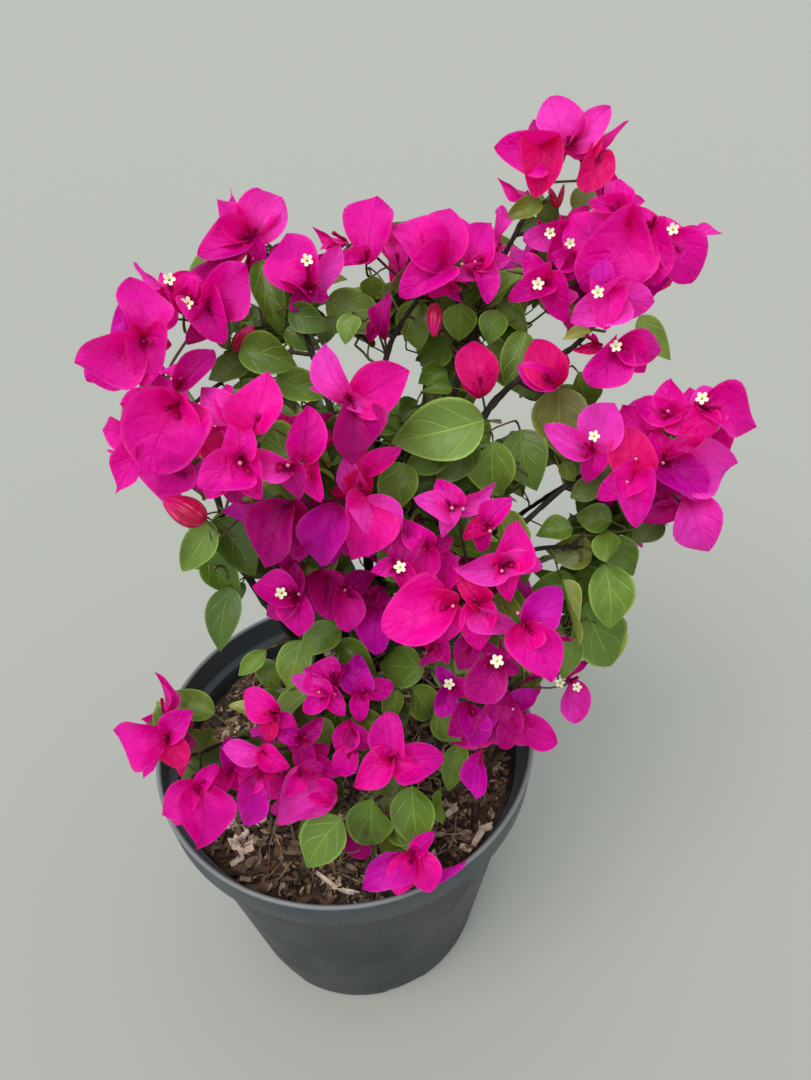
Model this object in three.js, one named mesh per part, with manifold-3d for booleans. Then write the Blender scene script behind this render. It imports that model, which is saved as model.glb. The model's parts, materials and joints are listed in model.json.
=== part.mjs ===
// A potted bougainvillea bush: a tapered plastic pot filled with potting bark, a short woody stem,
// the boughs that fan out of it, and the clumps of blossom and leaves that the boughs carry.
// Millimetres, +Z up. The origin is the centre of the pot's flat underside, and the bush's front faces -Y.

import * as THREE from "three";
import { mergeVertices } from "three/addons/utils/BufferGeometryUtils.js";
import Module from "manifold-3d";

const wasm = await Module();
wasm.setup();

// Driving dimensions

const CLEARANCE = 0.3; // gap between pieces that rest on each other
const POT = {
  height: 231,
  rimRadius: 140,
  baseRadius: 100,
  wall: 3,
  floor: 4,
  bandHeight: 26, // the wider band round the mouth
  bandStep: 5, // how far the mouth stands out past the line of the wall
  bandDraft: 1.5, // how much narrower the band is at its foot
  bandWall: 3.5, // how thick the band is
  edge: 1.2, // bevel round the foot and the lip
  sides: 36,
};
const SOIL_TOP = 196;
const STEM = {
  radius: 8,
  tipRadius: 5.6,
  flare: 5, // extra radius at the root
  flareLength: 14, // height over which the flare fades
};
const LIMB_SIDES = 6;
const LIMB_STEP = 28; // length of one straight stretch of a bough
const LUMP = 0.2; // how uneven a clump is, as a share of its size
const BIG_CLUMP = 34; // mean half size above which a clump has finer facets

const MATERIALS = {
  pot: plain(0x41474a, 0.55),
  soil: plain(0x4a3626, 0.95),
  bark: plain(0x3b342e, 0.85),
  blossom: plain(0xd0128c, 0.6),
  leaves: plain(0x56742a, 0.5),
};

// The stem's centre line, from its flat cut on the soil to its fork
const STEM_LINE = [
  [0, 0, SOIL_TOP + CLEARANCE],
  [0, 0, 218],
  [7, -3, 260],
  [16, -6, 305],
];

// Each bough: where it leaves its parent, as a share of the parent's length, its way points and its two radii
const BOUGHS = [
  { name: "bough_top", parent: "stem", leaves: 0.97, radii: [4, 1.5],
    way: [[42, 0, 400], [76, 22, 480], [103, 53, 545], [120, 77, 566], [140, 104, 592]] },
  { name: "bough_right_upper", parent: "stem", leaves: 0.9, radii: [3.7, 1.7],
    way: [[52, -14, 380], [84, -14, 468], [96, -8, 500], [114, 3, 513], [141, 12, 524], [163, 21, 543]] },
  { name: "bough_right_mid", parent: "stem", leaves: 0.76, radii: [3.5, 1.5],
    way: [[50, -22, 345], [92, -32, 410], [117, -31, 443], [136, -29, 463], [152, -27, 475]] },
  { name: "bough_right_low", parent: "bough_right_mid", leaves: 0.55, radii: [2.2, 1.3],
    way: [[121, -33, 424], [149, -27, 420]] },
  { name: "bough_centre", parent: "bough_top", leaves: 0.16, radii: [3.2, 1.4],
    way: [[26, 8, 405], [38, 16, 480], [46, 24, 525], [70, 50, 550]] },
  { name: "bough_left_upper", parent: "stem", leaves: 0.84, radii: [3.3, 1.4],
    way: [[4, -8, 380], [14, -1, 490], [4, 14, 532], [-8, 44, 556], [-28, 80, 566]] },
  { name: "bough_left", parent: "stem", leaves: 0.7, radii: [3.3, 1.4],
    way: [[-30, -22, 365], [-46, -30, 430], [-58, -20, 520], [-74, -18, 546]] },
  { name: "bough_front_left", parent: "stem", leaves: 0.58, radii: [3.2, 1.4],
    way: [[-8, -34, 350], [-20, -58, 450], [-16, -78, 520]] },
  { name: "bough_front", parent: "stem", leaves: 0.64, radii: [3.2, 1.4],
    way: [[34, -34, 345], [62, -64, 405], [84, -86, 440]] },
  { name: "bough_low_left", parent: "stem", leaves: 0.26, radii: [2.9, 1.3],
    way: [[-26, -24, 262], [-66, -52, 288], [-92, -68, 294]] },
  { name: "bough_low_front", parent: "stem", leaves: 0.34, radii: [2.7, 1.3],
    way: [[18, -36, 270], [34, -64, 292], [42, -82, 306]] },
  { name: "bough_back", parent: "stem", leaves: 0.5, radii: [3, 1.4],
    way: [[30, 38, 350], [62, 78, 430], [72, 104, 520]] },
  { name: "bough_back_left", parent: "stem", leaves: 0.42, radii: [2.9, 1.4],
    way: [[0, 36, 300], [-8, 84, 350], [-12, 104, 372]] },
  { name: "bough_back_low", parent: "bough_back", leaves: 0.2, radii: [2.3, 1.3],
    way: [[52, 60, 300], [84, 102, 314]] },
  { name: "bough_back_right", parent: "bough_back", leaves: 0.34, radii: [2.6, 1.4],
    way: [[90, 44, 360], [150, 58, 396], [184, 68, 412]] },
];

// Each clump of blossom: its centre and its half sizes along X, Y and Z
const BLOSSOM = {
  top: [[146, 114, 601], [38, 32, 27]],
  upper_right_back: [[192, 73, 562], [38, 33, 30]],
  upper_right: [[161, 26, 553], [28, 26, 24]],
  upper_right_inner: [[127, 52, 552], [18, 21, 25]],
  right_hanging: [[169, 12, 519], [26, 22, 17]],
  upper_centre: [[80, 60, 562], [34, 30, 25]],
  upper_centre_left: [[30, 72, 569], [20, 20, 21]],
  upper_left_back: [[-35, 92, 569], [24, 24, 23]],
  upper_left: [[-1, 44, 563], [18, 20, 21]],
  left_top: [[-48, 18, 555], [27, 26, 23]],
  left_tip: [[-80, -20, 557], [24, 27, 28]],
  left_mid: [[-55, -76, 539], [25, 26, 28]],
  centre_left: [[-11, -87, 540], [28, 28, 29]],
  centre_top: [[29, -42, 521], [23, 29, 36]],
  centre_low: [[7, -75, 481], [38, 30, 22]],
  lower_left: [[-4, -37, 393], [41, 28, 26]],
  front_top: [[75, -70, 482], [27, 24, 20]],
  front_left: [[55, -93, 450], [23, 26, 29]],
  front_right: [[102, -97, 439], [29, 33, 37]],
  front_low: [[97, -68, 334], [41, 34, 29]],
  right_inner: [[159, -26, 478], [28, 30, 32]],
  right_tip: [[208, -17, 476], [31, 34, 38]],
  low_left: [[-36, -80, 313], [28, 32, 36]],
  rim_left: [[-98, -76, 303], [34, 42, 50]],
  low_front: [[42, -88, 311], [29, 28, 25]],
  front_foot: [[46, -122, 254], [31, 24, 19]],
  back_upper: [[96, 118, 532], [52, 32, 37]],
  back_left: [[-20, 112, 394], [50, 42, 54]],
  back_low: [[94, 114, 326], [50, 36, 42]],
  back_right: [[195, 74, 410], [38, 40, 42]],
};

// Each clump of leaves, in the same way
const LEAVES = {
  left_top: [[-19, 16, 530], [25, 25, 26]],
  upper_mid: [[33, 38, 536], [24, 22, 21]],
  upper: [[89, 44, 525], [36, 28, 21]],
  mid_right: [[132, 20, 494], [26, 25, 26]],
  centre: [[57, -23, 485], [32, 31, 32]],
  centre_right: [[103, -21, 470], [25, 22, 20]],
  right_low: [[157, -25, 419], [28, 26, 24]],
  right_foot: [[151, -52, 378], [27, 27, 28]],
  left_low: [[-56, -46, 425], [22, 28, 34]],
  low_centre: [[5, -56, 336], [50, 32, 27]],
  front_foot: [[12, -109, 277], [48, 34, 22]],
  back_mid: [[70, 88, 440], [36, 34, 48]],
};

// Small helpers

function plain(color, roughness) {
  return new THREE.MeshStandardMaterial({ color, roughness, metalness: 0 });
}

function vector(point) {
  return new THREE.Vector3(...point);
}

// A seeded source of numbers from 0 to 1
function randomFrom(seed) {
  let state = seed * 2654435761;
  return () => {
    state = (state * 1664525 + 1013904223) % 4294967296;
    return state / 4294967296;
  };
}

// A geometry's faces as a closed solid that can be cut
function solidOf(geometry) {
  const bare = new THREE.BufferGeometry();
  bare.setAttribute("position", geometry.getAttribute("position"));
  bare.setIndex(geometry.index);
  const merged = mergeVertices(bare, 1e-3);
  return new wasm.Manifold(
    new wasm.Mesh({
      numProp: 3,
      vertProperties: merged.getAttribute("position").array,
      triVerts: new Uint32Array(merged.index.array),
    }),
  );
}

function geometryOf(solid) {
  const mesh = solid.getMesh();
  const geometry = new THREE.BufferGeometry();
  geometry.setAttribute("position", new THREE.BufferAttribute(mesh.vertProperties, 3));
  geometry.setIndex(new THREE.BufferAttribute(mesh.triVerts, 1));
  return geometry;
}

function largestPiece(solid) {
  return solid.decompose().reduce((a, b) => (b.volume() > a.volume() ? b : a));
}

function without(solid, cutters) {
  const left = cutters.reduce((rest, cutter) => rest.subtract(cutter), solid);
  return largestPiece(left);
}

// Pot and soil

// The radius of the pot's inner wall at a height, under the band
function innerRadius(z) {
  const mouth = POT.rimRadius - POT.bandStep - POT.wall;
  return THREE.MathUtils.mapLinear(z, 0, POT.height, POT.baseRadius - POT.wall, mouth);
}

function turned(profile) {
  const points = profile.map(([radius, z]) => new THREE.Vector2(radius, z));
  return new THREE.LatheGeometry(points, POT.sides).rotateX(Math.PI / 2);
}

function potGeometry() {
  const { height, rimRadius, baseRadius, wall, floor, bandHeight, bandDraft, bandWall, edge } = POT;
  const bandFoot = height - bandHeight;
  const bandRadius = rimRadius - bandDraft;
  const ledge = bandFoot + wall;
  return turned([
    [0, 0],
    [baseRadius - edge, 0],
    [baseRadius, edge],
    [innerRadius(bandFoot) + wall, bandFoot],
    [bandRadius, bandFoot + edge],
    [rimRadius, height - edge],
    [rimRadius - edge, height],
    [rimRadius - bandWall + edge, height],
    [rimRadius - bandWall, height - edge],
    [bandRadius - bandWall, ledge + edge],
    [innerRadius(ledge), ledge],
    [innerRadius(floor), floor],
    [0, floor],
  ]);
}

function soilGeometry() {
  const foot = POT.floor + CLEARANCE;
  return turned([
    [0, foot],
    [innerRadius(foot) - CLEARANCE, foot],
    [innerRadius(SOIL_TOP) - CLEARANCE, SOIL_TOP],
    [0, SOIL_TOP],
  ]);
}

// Limbs

// A cylinder bent along a curve. radiusAt gives its radius at a share of its length,
// and grow makes it larger all round.
function bentCylinder(curve, radiusAt, grow = 0) {
  const steps = Math.max(4, Math.round(curve.getLength() / LIMB_STEP));
  const geometry = new THREE.CylinderGeometry(1, 1, 1, LIMB_SIDES, steps);
  const frames = curve.computeFrenetFrames(steps);
  const position = geometry.getAttribute("position");
  const vertex = new THREE.Vector3();
  for (let i = 0; i < position.count; i++) {
    vertex.fromBufferAttribute(position, i);
    const ring = Math.round((vertex.y + 0.5) * steps);
    const share = ring / steps;
    const radius = radiusAt(share) + grow;
    const centre = curve.getPointAt(share);
    if (ring === 0) centre.addScaledVector(frames.tangents[0], -grow);
    if (ring === steps) centre.addScaledVector(frames.tangents[steps], grow);
    centre.addScaledVector(frames.normals[ring], vertex.x * radius);
    centre.addScaledVector(frames.binormals[ring], -vertex.z * radius);
    position.setXYZ(i, centre.x, centre.y, centre.z);
  }
  return geometry;
}

// The stem and the boughs as curves with their radii, parents before children
function limbLines() {
  const stemCurve = new THREE.CatmullRomCurve3(STEM_LINE.map(vector));
  const stemLength = stemCurve.getLength();
  const lines = new Map();
  lines.set("stem", {
    curve: stemCurve,
    radiusAt: (share) =>
      THREE.MathUtils.lerp(STEM.radius, STEM.tipRadius, share) +
      STEM.flare * Math.exp((-share * stemLength) / STEM.flareLength),
  });
  for (const { name, parent, leaves, way, radii } of BOUGHS) {
    const start = lines.get(parent).curve.getPointAt(leaves);
    lines.set(name, {
      curve: new THREE.CatmullRomCurve3([start, ...way.map(vector)]),
      radiusAt: (share) => THREE.MathUtils.lerp(radii[0], radii[1], share),
    });
  }
  return lines;
}

// Each limb as a solid, cut clear of the limbs made before it
function limbSolids(lines) {
  const made = new Map();
  const cutters = [];
  for (const [name, { curve, radiusAt }] of lines) {
    made.set(name, without(solidOf(bentCylinder(curve, radiusAt)), cutters));
    cutters.push(solidOf(bentCylinder(curve, radiusAt, CLEARANCE)));
  }
  return { made, cutters };
}

// Clumps

// A ball with a few broad lumps of its own, stretched to the clump's half sizes
function lumpyBall(half, seed) {
  const random = randomFrom(seed);
  const waves = [2, 3, 4].map((pitch) => ({
    pitch,
    phase: random() * 2 * Math.PI,
    way: new THREE.Vector3(random() - 0.5, random() - 0.5, random() - 0.5).normalize(),
  }));
  const meanHalf = (half[0] + half[1] + half[2]) / 3;
  const geometry = new THREE.IcosahedronGeometry(1, meanHalf > BIG_CLUMP ? 2 : 1);
  const position = geometry.getAttribute("position");
  const vertex = new THREE.Vector3();
  for (let i = 0; i < position.count; i++) {
    vertex.fromBufferAttribute(position, i).normalize();
    const swell = (w) => Math.sin(w.pitch * vertex.dot(w.way) + w.phase) / w.pitch;
    const lump = waves.reduce((sum, w) => sum + swell(w), 0);
    vertex.multiplyScalar(1 + LUMP * lump);
    position.setXYZ(i, vertex.x, vertex.y, vertex.z);
  }
  geometry.center();
  geometry.computeBoundingBox();
  const size = geometry.boundingBox.getSize(new THREE.Vector3());
  return geometry.scale(...half.map((h, axis) => (2 * h) / size.getComponent(axis)));
}

// How far an ellipsoid of these half sizes reaches along a unit direction
function reachOf(half, direction) {
  return Math.hypot(...half.map((h, axis) => h * direction.getComponent(axis)));
}

// Parts two clumps that meet by a plane between them, with the clearance at the plane
function partByPlane(a, b) {
  const between = vector(b.centre).sub(vector(a.centre));
  const distance = between.length();
  const direction = between.divideScalar(distance);
  const reachA = reachOf(a.half, direction);
  const reachB = reachOf(b.half, direction);
  const meeting = vector(a.centre).addScaledVector(direction, (distance * reachA) / (reachA + reachB));
  const offset = meeting.dot(direction);
  const normal = direction.toArray();
  const opposite = normal.map((n) => -n);
  a.solid = a.solid.trimByPlane(opposite, CLEARANCE / 2 - offset);
  b.solid = b.solid.trimByPlane(normal, offset + CLEARANCE / 2);
}

function clumpSolids(cutters) {
  const clumps = [];
  for (const [kind, table] of [["blossom", BLOSSOM], ["leaves", LEAVES]]) {
    for (const [place, [centre, half]] of Object.entries(table)) {
      const solid = solidOf(lumpyBall(half, clumps.length + 1).translate(...centre));
      clumps.push({ name: `${kind}_${place}`, kind, centre, half, solid });
    }
  }
  for (const [i, a] of clumps.entries()) {
    for (const b of clumps.slice(i + 1)) {
      if (a.solid.intersect(b.solid).volume() > 0) partByPlane(a, b);
    }
  }
  for (const clump of clumps) clump.solid = without(clump.solid, cutters);
  return clumps;
}

// Assembly

function named(name, geometry, material) {
  const mesh = new THREE.Mesh(geometry, material);
  mesh.name = name;
  return mesh;
}

const bush = new THREE.Group();
bush.add(named("pot", potGeometry(), MATERIALS.pot));
bush.add(named("soil", soilGeometry(), MATERIALS.soil));

const { made: limbs, cutters: limbCutters } = limbSolids(limbLines());
for (const [name, solid] of limbs) bush.add(named(name, geometryOf(solid), MATERIALS.bark));
for (const { name, kind, solid } of clumpSolids(limbCutters)) {
  bush.add(named(name, geometryOf(solid), MATERIALS[kind]));
}

export default bush;
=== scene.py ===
import json
import math
from collections import namedtuple

import bmesh
import bpy
import numpy as np
from mathutils import Matrix, Vector, noise

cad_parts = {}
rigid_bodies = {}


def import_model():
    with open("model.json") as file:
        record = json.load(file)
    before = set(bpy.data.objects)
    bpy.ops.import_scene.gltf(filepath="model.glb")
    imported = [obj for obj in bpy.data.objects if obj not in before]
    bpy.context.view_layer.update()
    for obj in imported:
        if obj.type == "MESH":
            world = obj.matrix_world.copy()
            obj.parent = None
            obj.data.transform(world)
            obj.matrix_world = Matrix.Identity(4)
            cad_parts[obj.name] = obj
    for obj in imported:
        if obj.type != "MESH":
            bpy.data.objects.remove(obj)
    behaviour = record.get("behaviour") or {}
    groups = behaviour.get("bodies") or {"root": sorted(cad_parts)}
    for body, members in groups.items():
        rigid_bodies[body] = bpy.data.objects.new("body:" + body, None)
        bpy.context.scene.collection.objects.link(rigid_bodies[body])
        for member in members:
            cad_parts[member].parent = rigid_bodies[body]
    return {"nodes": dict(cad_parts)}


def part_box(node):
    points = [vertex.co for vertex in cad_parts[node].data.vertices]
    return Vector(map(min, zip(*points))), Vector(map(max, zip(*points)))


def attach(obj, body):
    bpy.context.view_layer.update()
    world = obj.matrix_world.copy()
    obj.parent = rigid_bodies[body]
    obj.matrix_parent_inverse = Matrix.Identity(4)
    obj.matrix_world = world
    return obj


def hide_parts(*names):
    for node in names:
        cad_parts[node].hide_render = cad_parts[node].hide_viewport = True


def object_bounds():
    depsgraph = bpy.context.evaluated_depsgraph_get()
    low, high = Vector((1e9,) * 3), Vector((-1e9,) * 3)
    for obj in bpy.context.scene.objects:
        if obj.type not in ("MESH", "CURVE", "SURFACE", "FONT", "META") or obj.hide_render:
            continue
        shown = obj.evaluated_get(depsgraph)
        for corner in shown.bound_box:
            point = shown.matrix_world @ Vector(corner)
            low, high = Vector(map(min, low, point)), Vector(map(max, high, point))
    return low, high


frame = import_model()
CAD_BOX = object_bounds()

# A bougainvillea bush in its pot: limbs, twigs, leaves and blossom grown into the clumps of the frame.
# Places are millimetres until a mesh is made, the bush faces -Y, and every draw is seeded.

MM = 0.001
UP = np.array((0.0, 0.0, 1.0))
GOLDEN_ANGLE = math.radians(137.5)

# Camera

PHOTO_WIDTH = 811
PHOTO_HEIGHT = 1080
FOCAL_PIXELS = 811
SENSOR_MM = 36
CAMERA_PLACE = np.array((50.4, -383.32, 723.24))
LOOK_DOWN = math.radians(39.40)
CAMERA_LEAN = math.radians(2.36)

# Pot and soil

POT_HEIGHT = 231
POT_RIM_RADIUS = 140
POT_BASE_RADIUS = 100
POT_WALL = 3
POT_FLOOR = 4
POT_BAND_HEIGHT = 26
POT_BAND_FOOT = POT_HEIGHT - POT_BAND_HEIGHT
POT_BAND_STEP = 5
POT_BAND_DRAFT = 1.5
POT_BAND_WALL = 3.5
POT_ROUND = 1.2
POT_SIDES = 144
FOOT_ARCHES = 6
FOOT_ARCH_HEIGHT = 15
FOOT_ARCH_WIDTH = 30
FOOT_ARCH_DEPTH = 0.9
FOOT_ARCH_TURN = 0.16
SOIL_TOP = 196
SOIL_FOOT = 4.3
SOIL_GAP = 0.3
SOIL_SWELL = 3.0
SOIL_RINGS = 34
SOIL_SIDES = 120
CHIP_SEED = 21
CHIP_SHAPES = 12
CHIP_COUNT = 4200
FINE_CHIP = 7
STRAW_COUNT = 260

# Stem and boughs, as the frame has them

STEM_LINE = [(0, 0, 196.3), (0, 0, 218), (7, -3, 260), (16, -6, 305)]
STEM_RADII = (8, 5.6)
STEM_FLARE = 5
STEM_FLARE_LENGTH = 14
STEM_STEP = 3.0

Bough = namedtuple("Bough", "name parent leaves radii way")
BOUGHS = [
    Bough("bough_top", "stem", 0.97, (3.5, 1.3),
          [(42, 0, 400), (76, 22, 480), (103, 53, 545), (120, 77, 566), (140, 104, 592)]),
    Bough("bough_right_upper", "stem", 0.9, (3.7, 1.7),
          [(52, -14, 380), (84, -14, 468), (96, -8, 500), (114, 3, 513), (141, 12, 524), (163, 21, 543)]),
    Bough("bough_right_mid", "stem", 0.76, (3.5, 1.5),
          [(50, -22, 345), (92, -32, 410), (117, -31, 443), (136, -29, 463), (152, -27, 475)]),
    Bough("bough_right_low", "bough_right_mid", 0.55, (2.2, 1.3), [(121, -33, 424), (149, -27, 420)]),
    Bough("bough_centre", "bough_top", 0.16, (3.2, 1.4),
          [(26, 8, 405), (38, 16, 480), (46, 24, 525), (70, 50, 550)]),
    Bough("bough_left_upper", "stem", 0.84, (3.3, 1.4),
          [(4, -8, 380), (14, -1, 490), (4, 14, 532), (-8, 44, 556), (-28, 80, 566)]),
    Bough("bough_left", "stem", 0.7, (3.3, 1.4),
          [(-30, -22, 365), (-46, -30, 430), (-58, -20, 520), (-74, -18, 546)]),
    Bough("bough_front_left", "stem", 0.58, (3.2, 1.4), [(-8, -34, 350), (-20, -58, 450), (-16, -78, 520)]),
    Bough("bough_front", "stem", 0.64, (3.2, 1.4), [(34, -34, 345), (62, -64, 405), (84, -86, 440)]),
    Bough("bough_low_left", "stem", 0.26, (2.9, 1.3), [(-26, -24, 262), (-66, -52, 288), (-92, -68, 294)]),
    Bough("bough_low_front", "stem", 0.34, (2.7, 1.3), [(18, -36, 270), (34, -64, 292), (42, -82, 306)]),
    Bough("bough_back", "stem", 0.5, (3, 1.4), [(30, 38, 350), (62, 78, 430), (72, 104, 520)]),
    Bough("bough_back_left", "stem", 0.42, (2.9, 1.4), [(0, 36, 300), (-8, 84, 350), (-12, 104, 372)]),
    Bough("bough_back_low", "bough_back", 0.2, (2.3, 1.3), [(52, 60, 300), (84, 102, 314)]),
    Bough("bough_back_right", "bough_back", 0.34, (2.6, 1.4),
          [(90, 44, 360), (150, 58, 396), (184, 68, 412)]),
]

BOUGH_TIP_SHARE = 0.7
LIMB_STEP = 3.5
BARK_SEED = 31
BARK_DEPTH = 0.45
BARK_GRAIN = 3.2
FIRST_NODE = (4, 14)
NODE_GAP = (16, 27)
NODE_SWELL = 0.16
NODE_WIDTH = 2.8

# Tints, as plain sRGB base colours; the bract tints beside magenta are painted light and shade

# Bract tints beside magenta: light is a painted sheen, deep a painted shade, bright a painted lit face,
# purple partly the bracts' own violet and partly painted shade, crimson partly the young bracts' own crimson
# and partly a painted glow of light let through.
BRACT_TINTS = [(236, 0, 170), (246, 56, 198), (212, 0, 176), (228, 0, 120), (190, 0, 134), (252, 0, 168)]
# Fill blooms draw these painted tints at random by their shares.
BRACT_TINT_SHARES = (0.42, 0.12, 0.14, 0.08, 0.12, 0.12)
MAGENTA, SHEEN_LIGHT, PURPLE_AND_SHADE, CRIMSON_AND_GLOW, SHADED_DEEP, LIT_BRIGHT = range(6)
LEAF_TINTS = [(80, 106, 36), (98, 128, 42), (112, 124, 42), (118, 150, 58), (158, 170, 84)]
LEAF_TINT_SHARES = (0.34, 0.34, 0.14, 0.12, 0.06)
DARK, GREEN, OLIVE, FRESH, YOUNG = range(5)
CLOSED_TIP, FLOWER_EYE, PALE_TIP = range(3)

# What shows of the blossom, in pixels of the photograph. A bloom is its heart, its bracts and its open
# flowers, if it has any. A bract is its tip, its tilt towards the viewer in degrees, its width as a share of
# the usual and its tint, which is magenta where none is named.

# A named tint paints the sheen, lit face or shade that the bract shows there, and for crimson also light let
# through.
Bract = namedtuple("Bract", "x y tilt share tint", defaults=(MAGENTA,))

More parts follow.
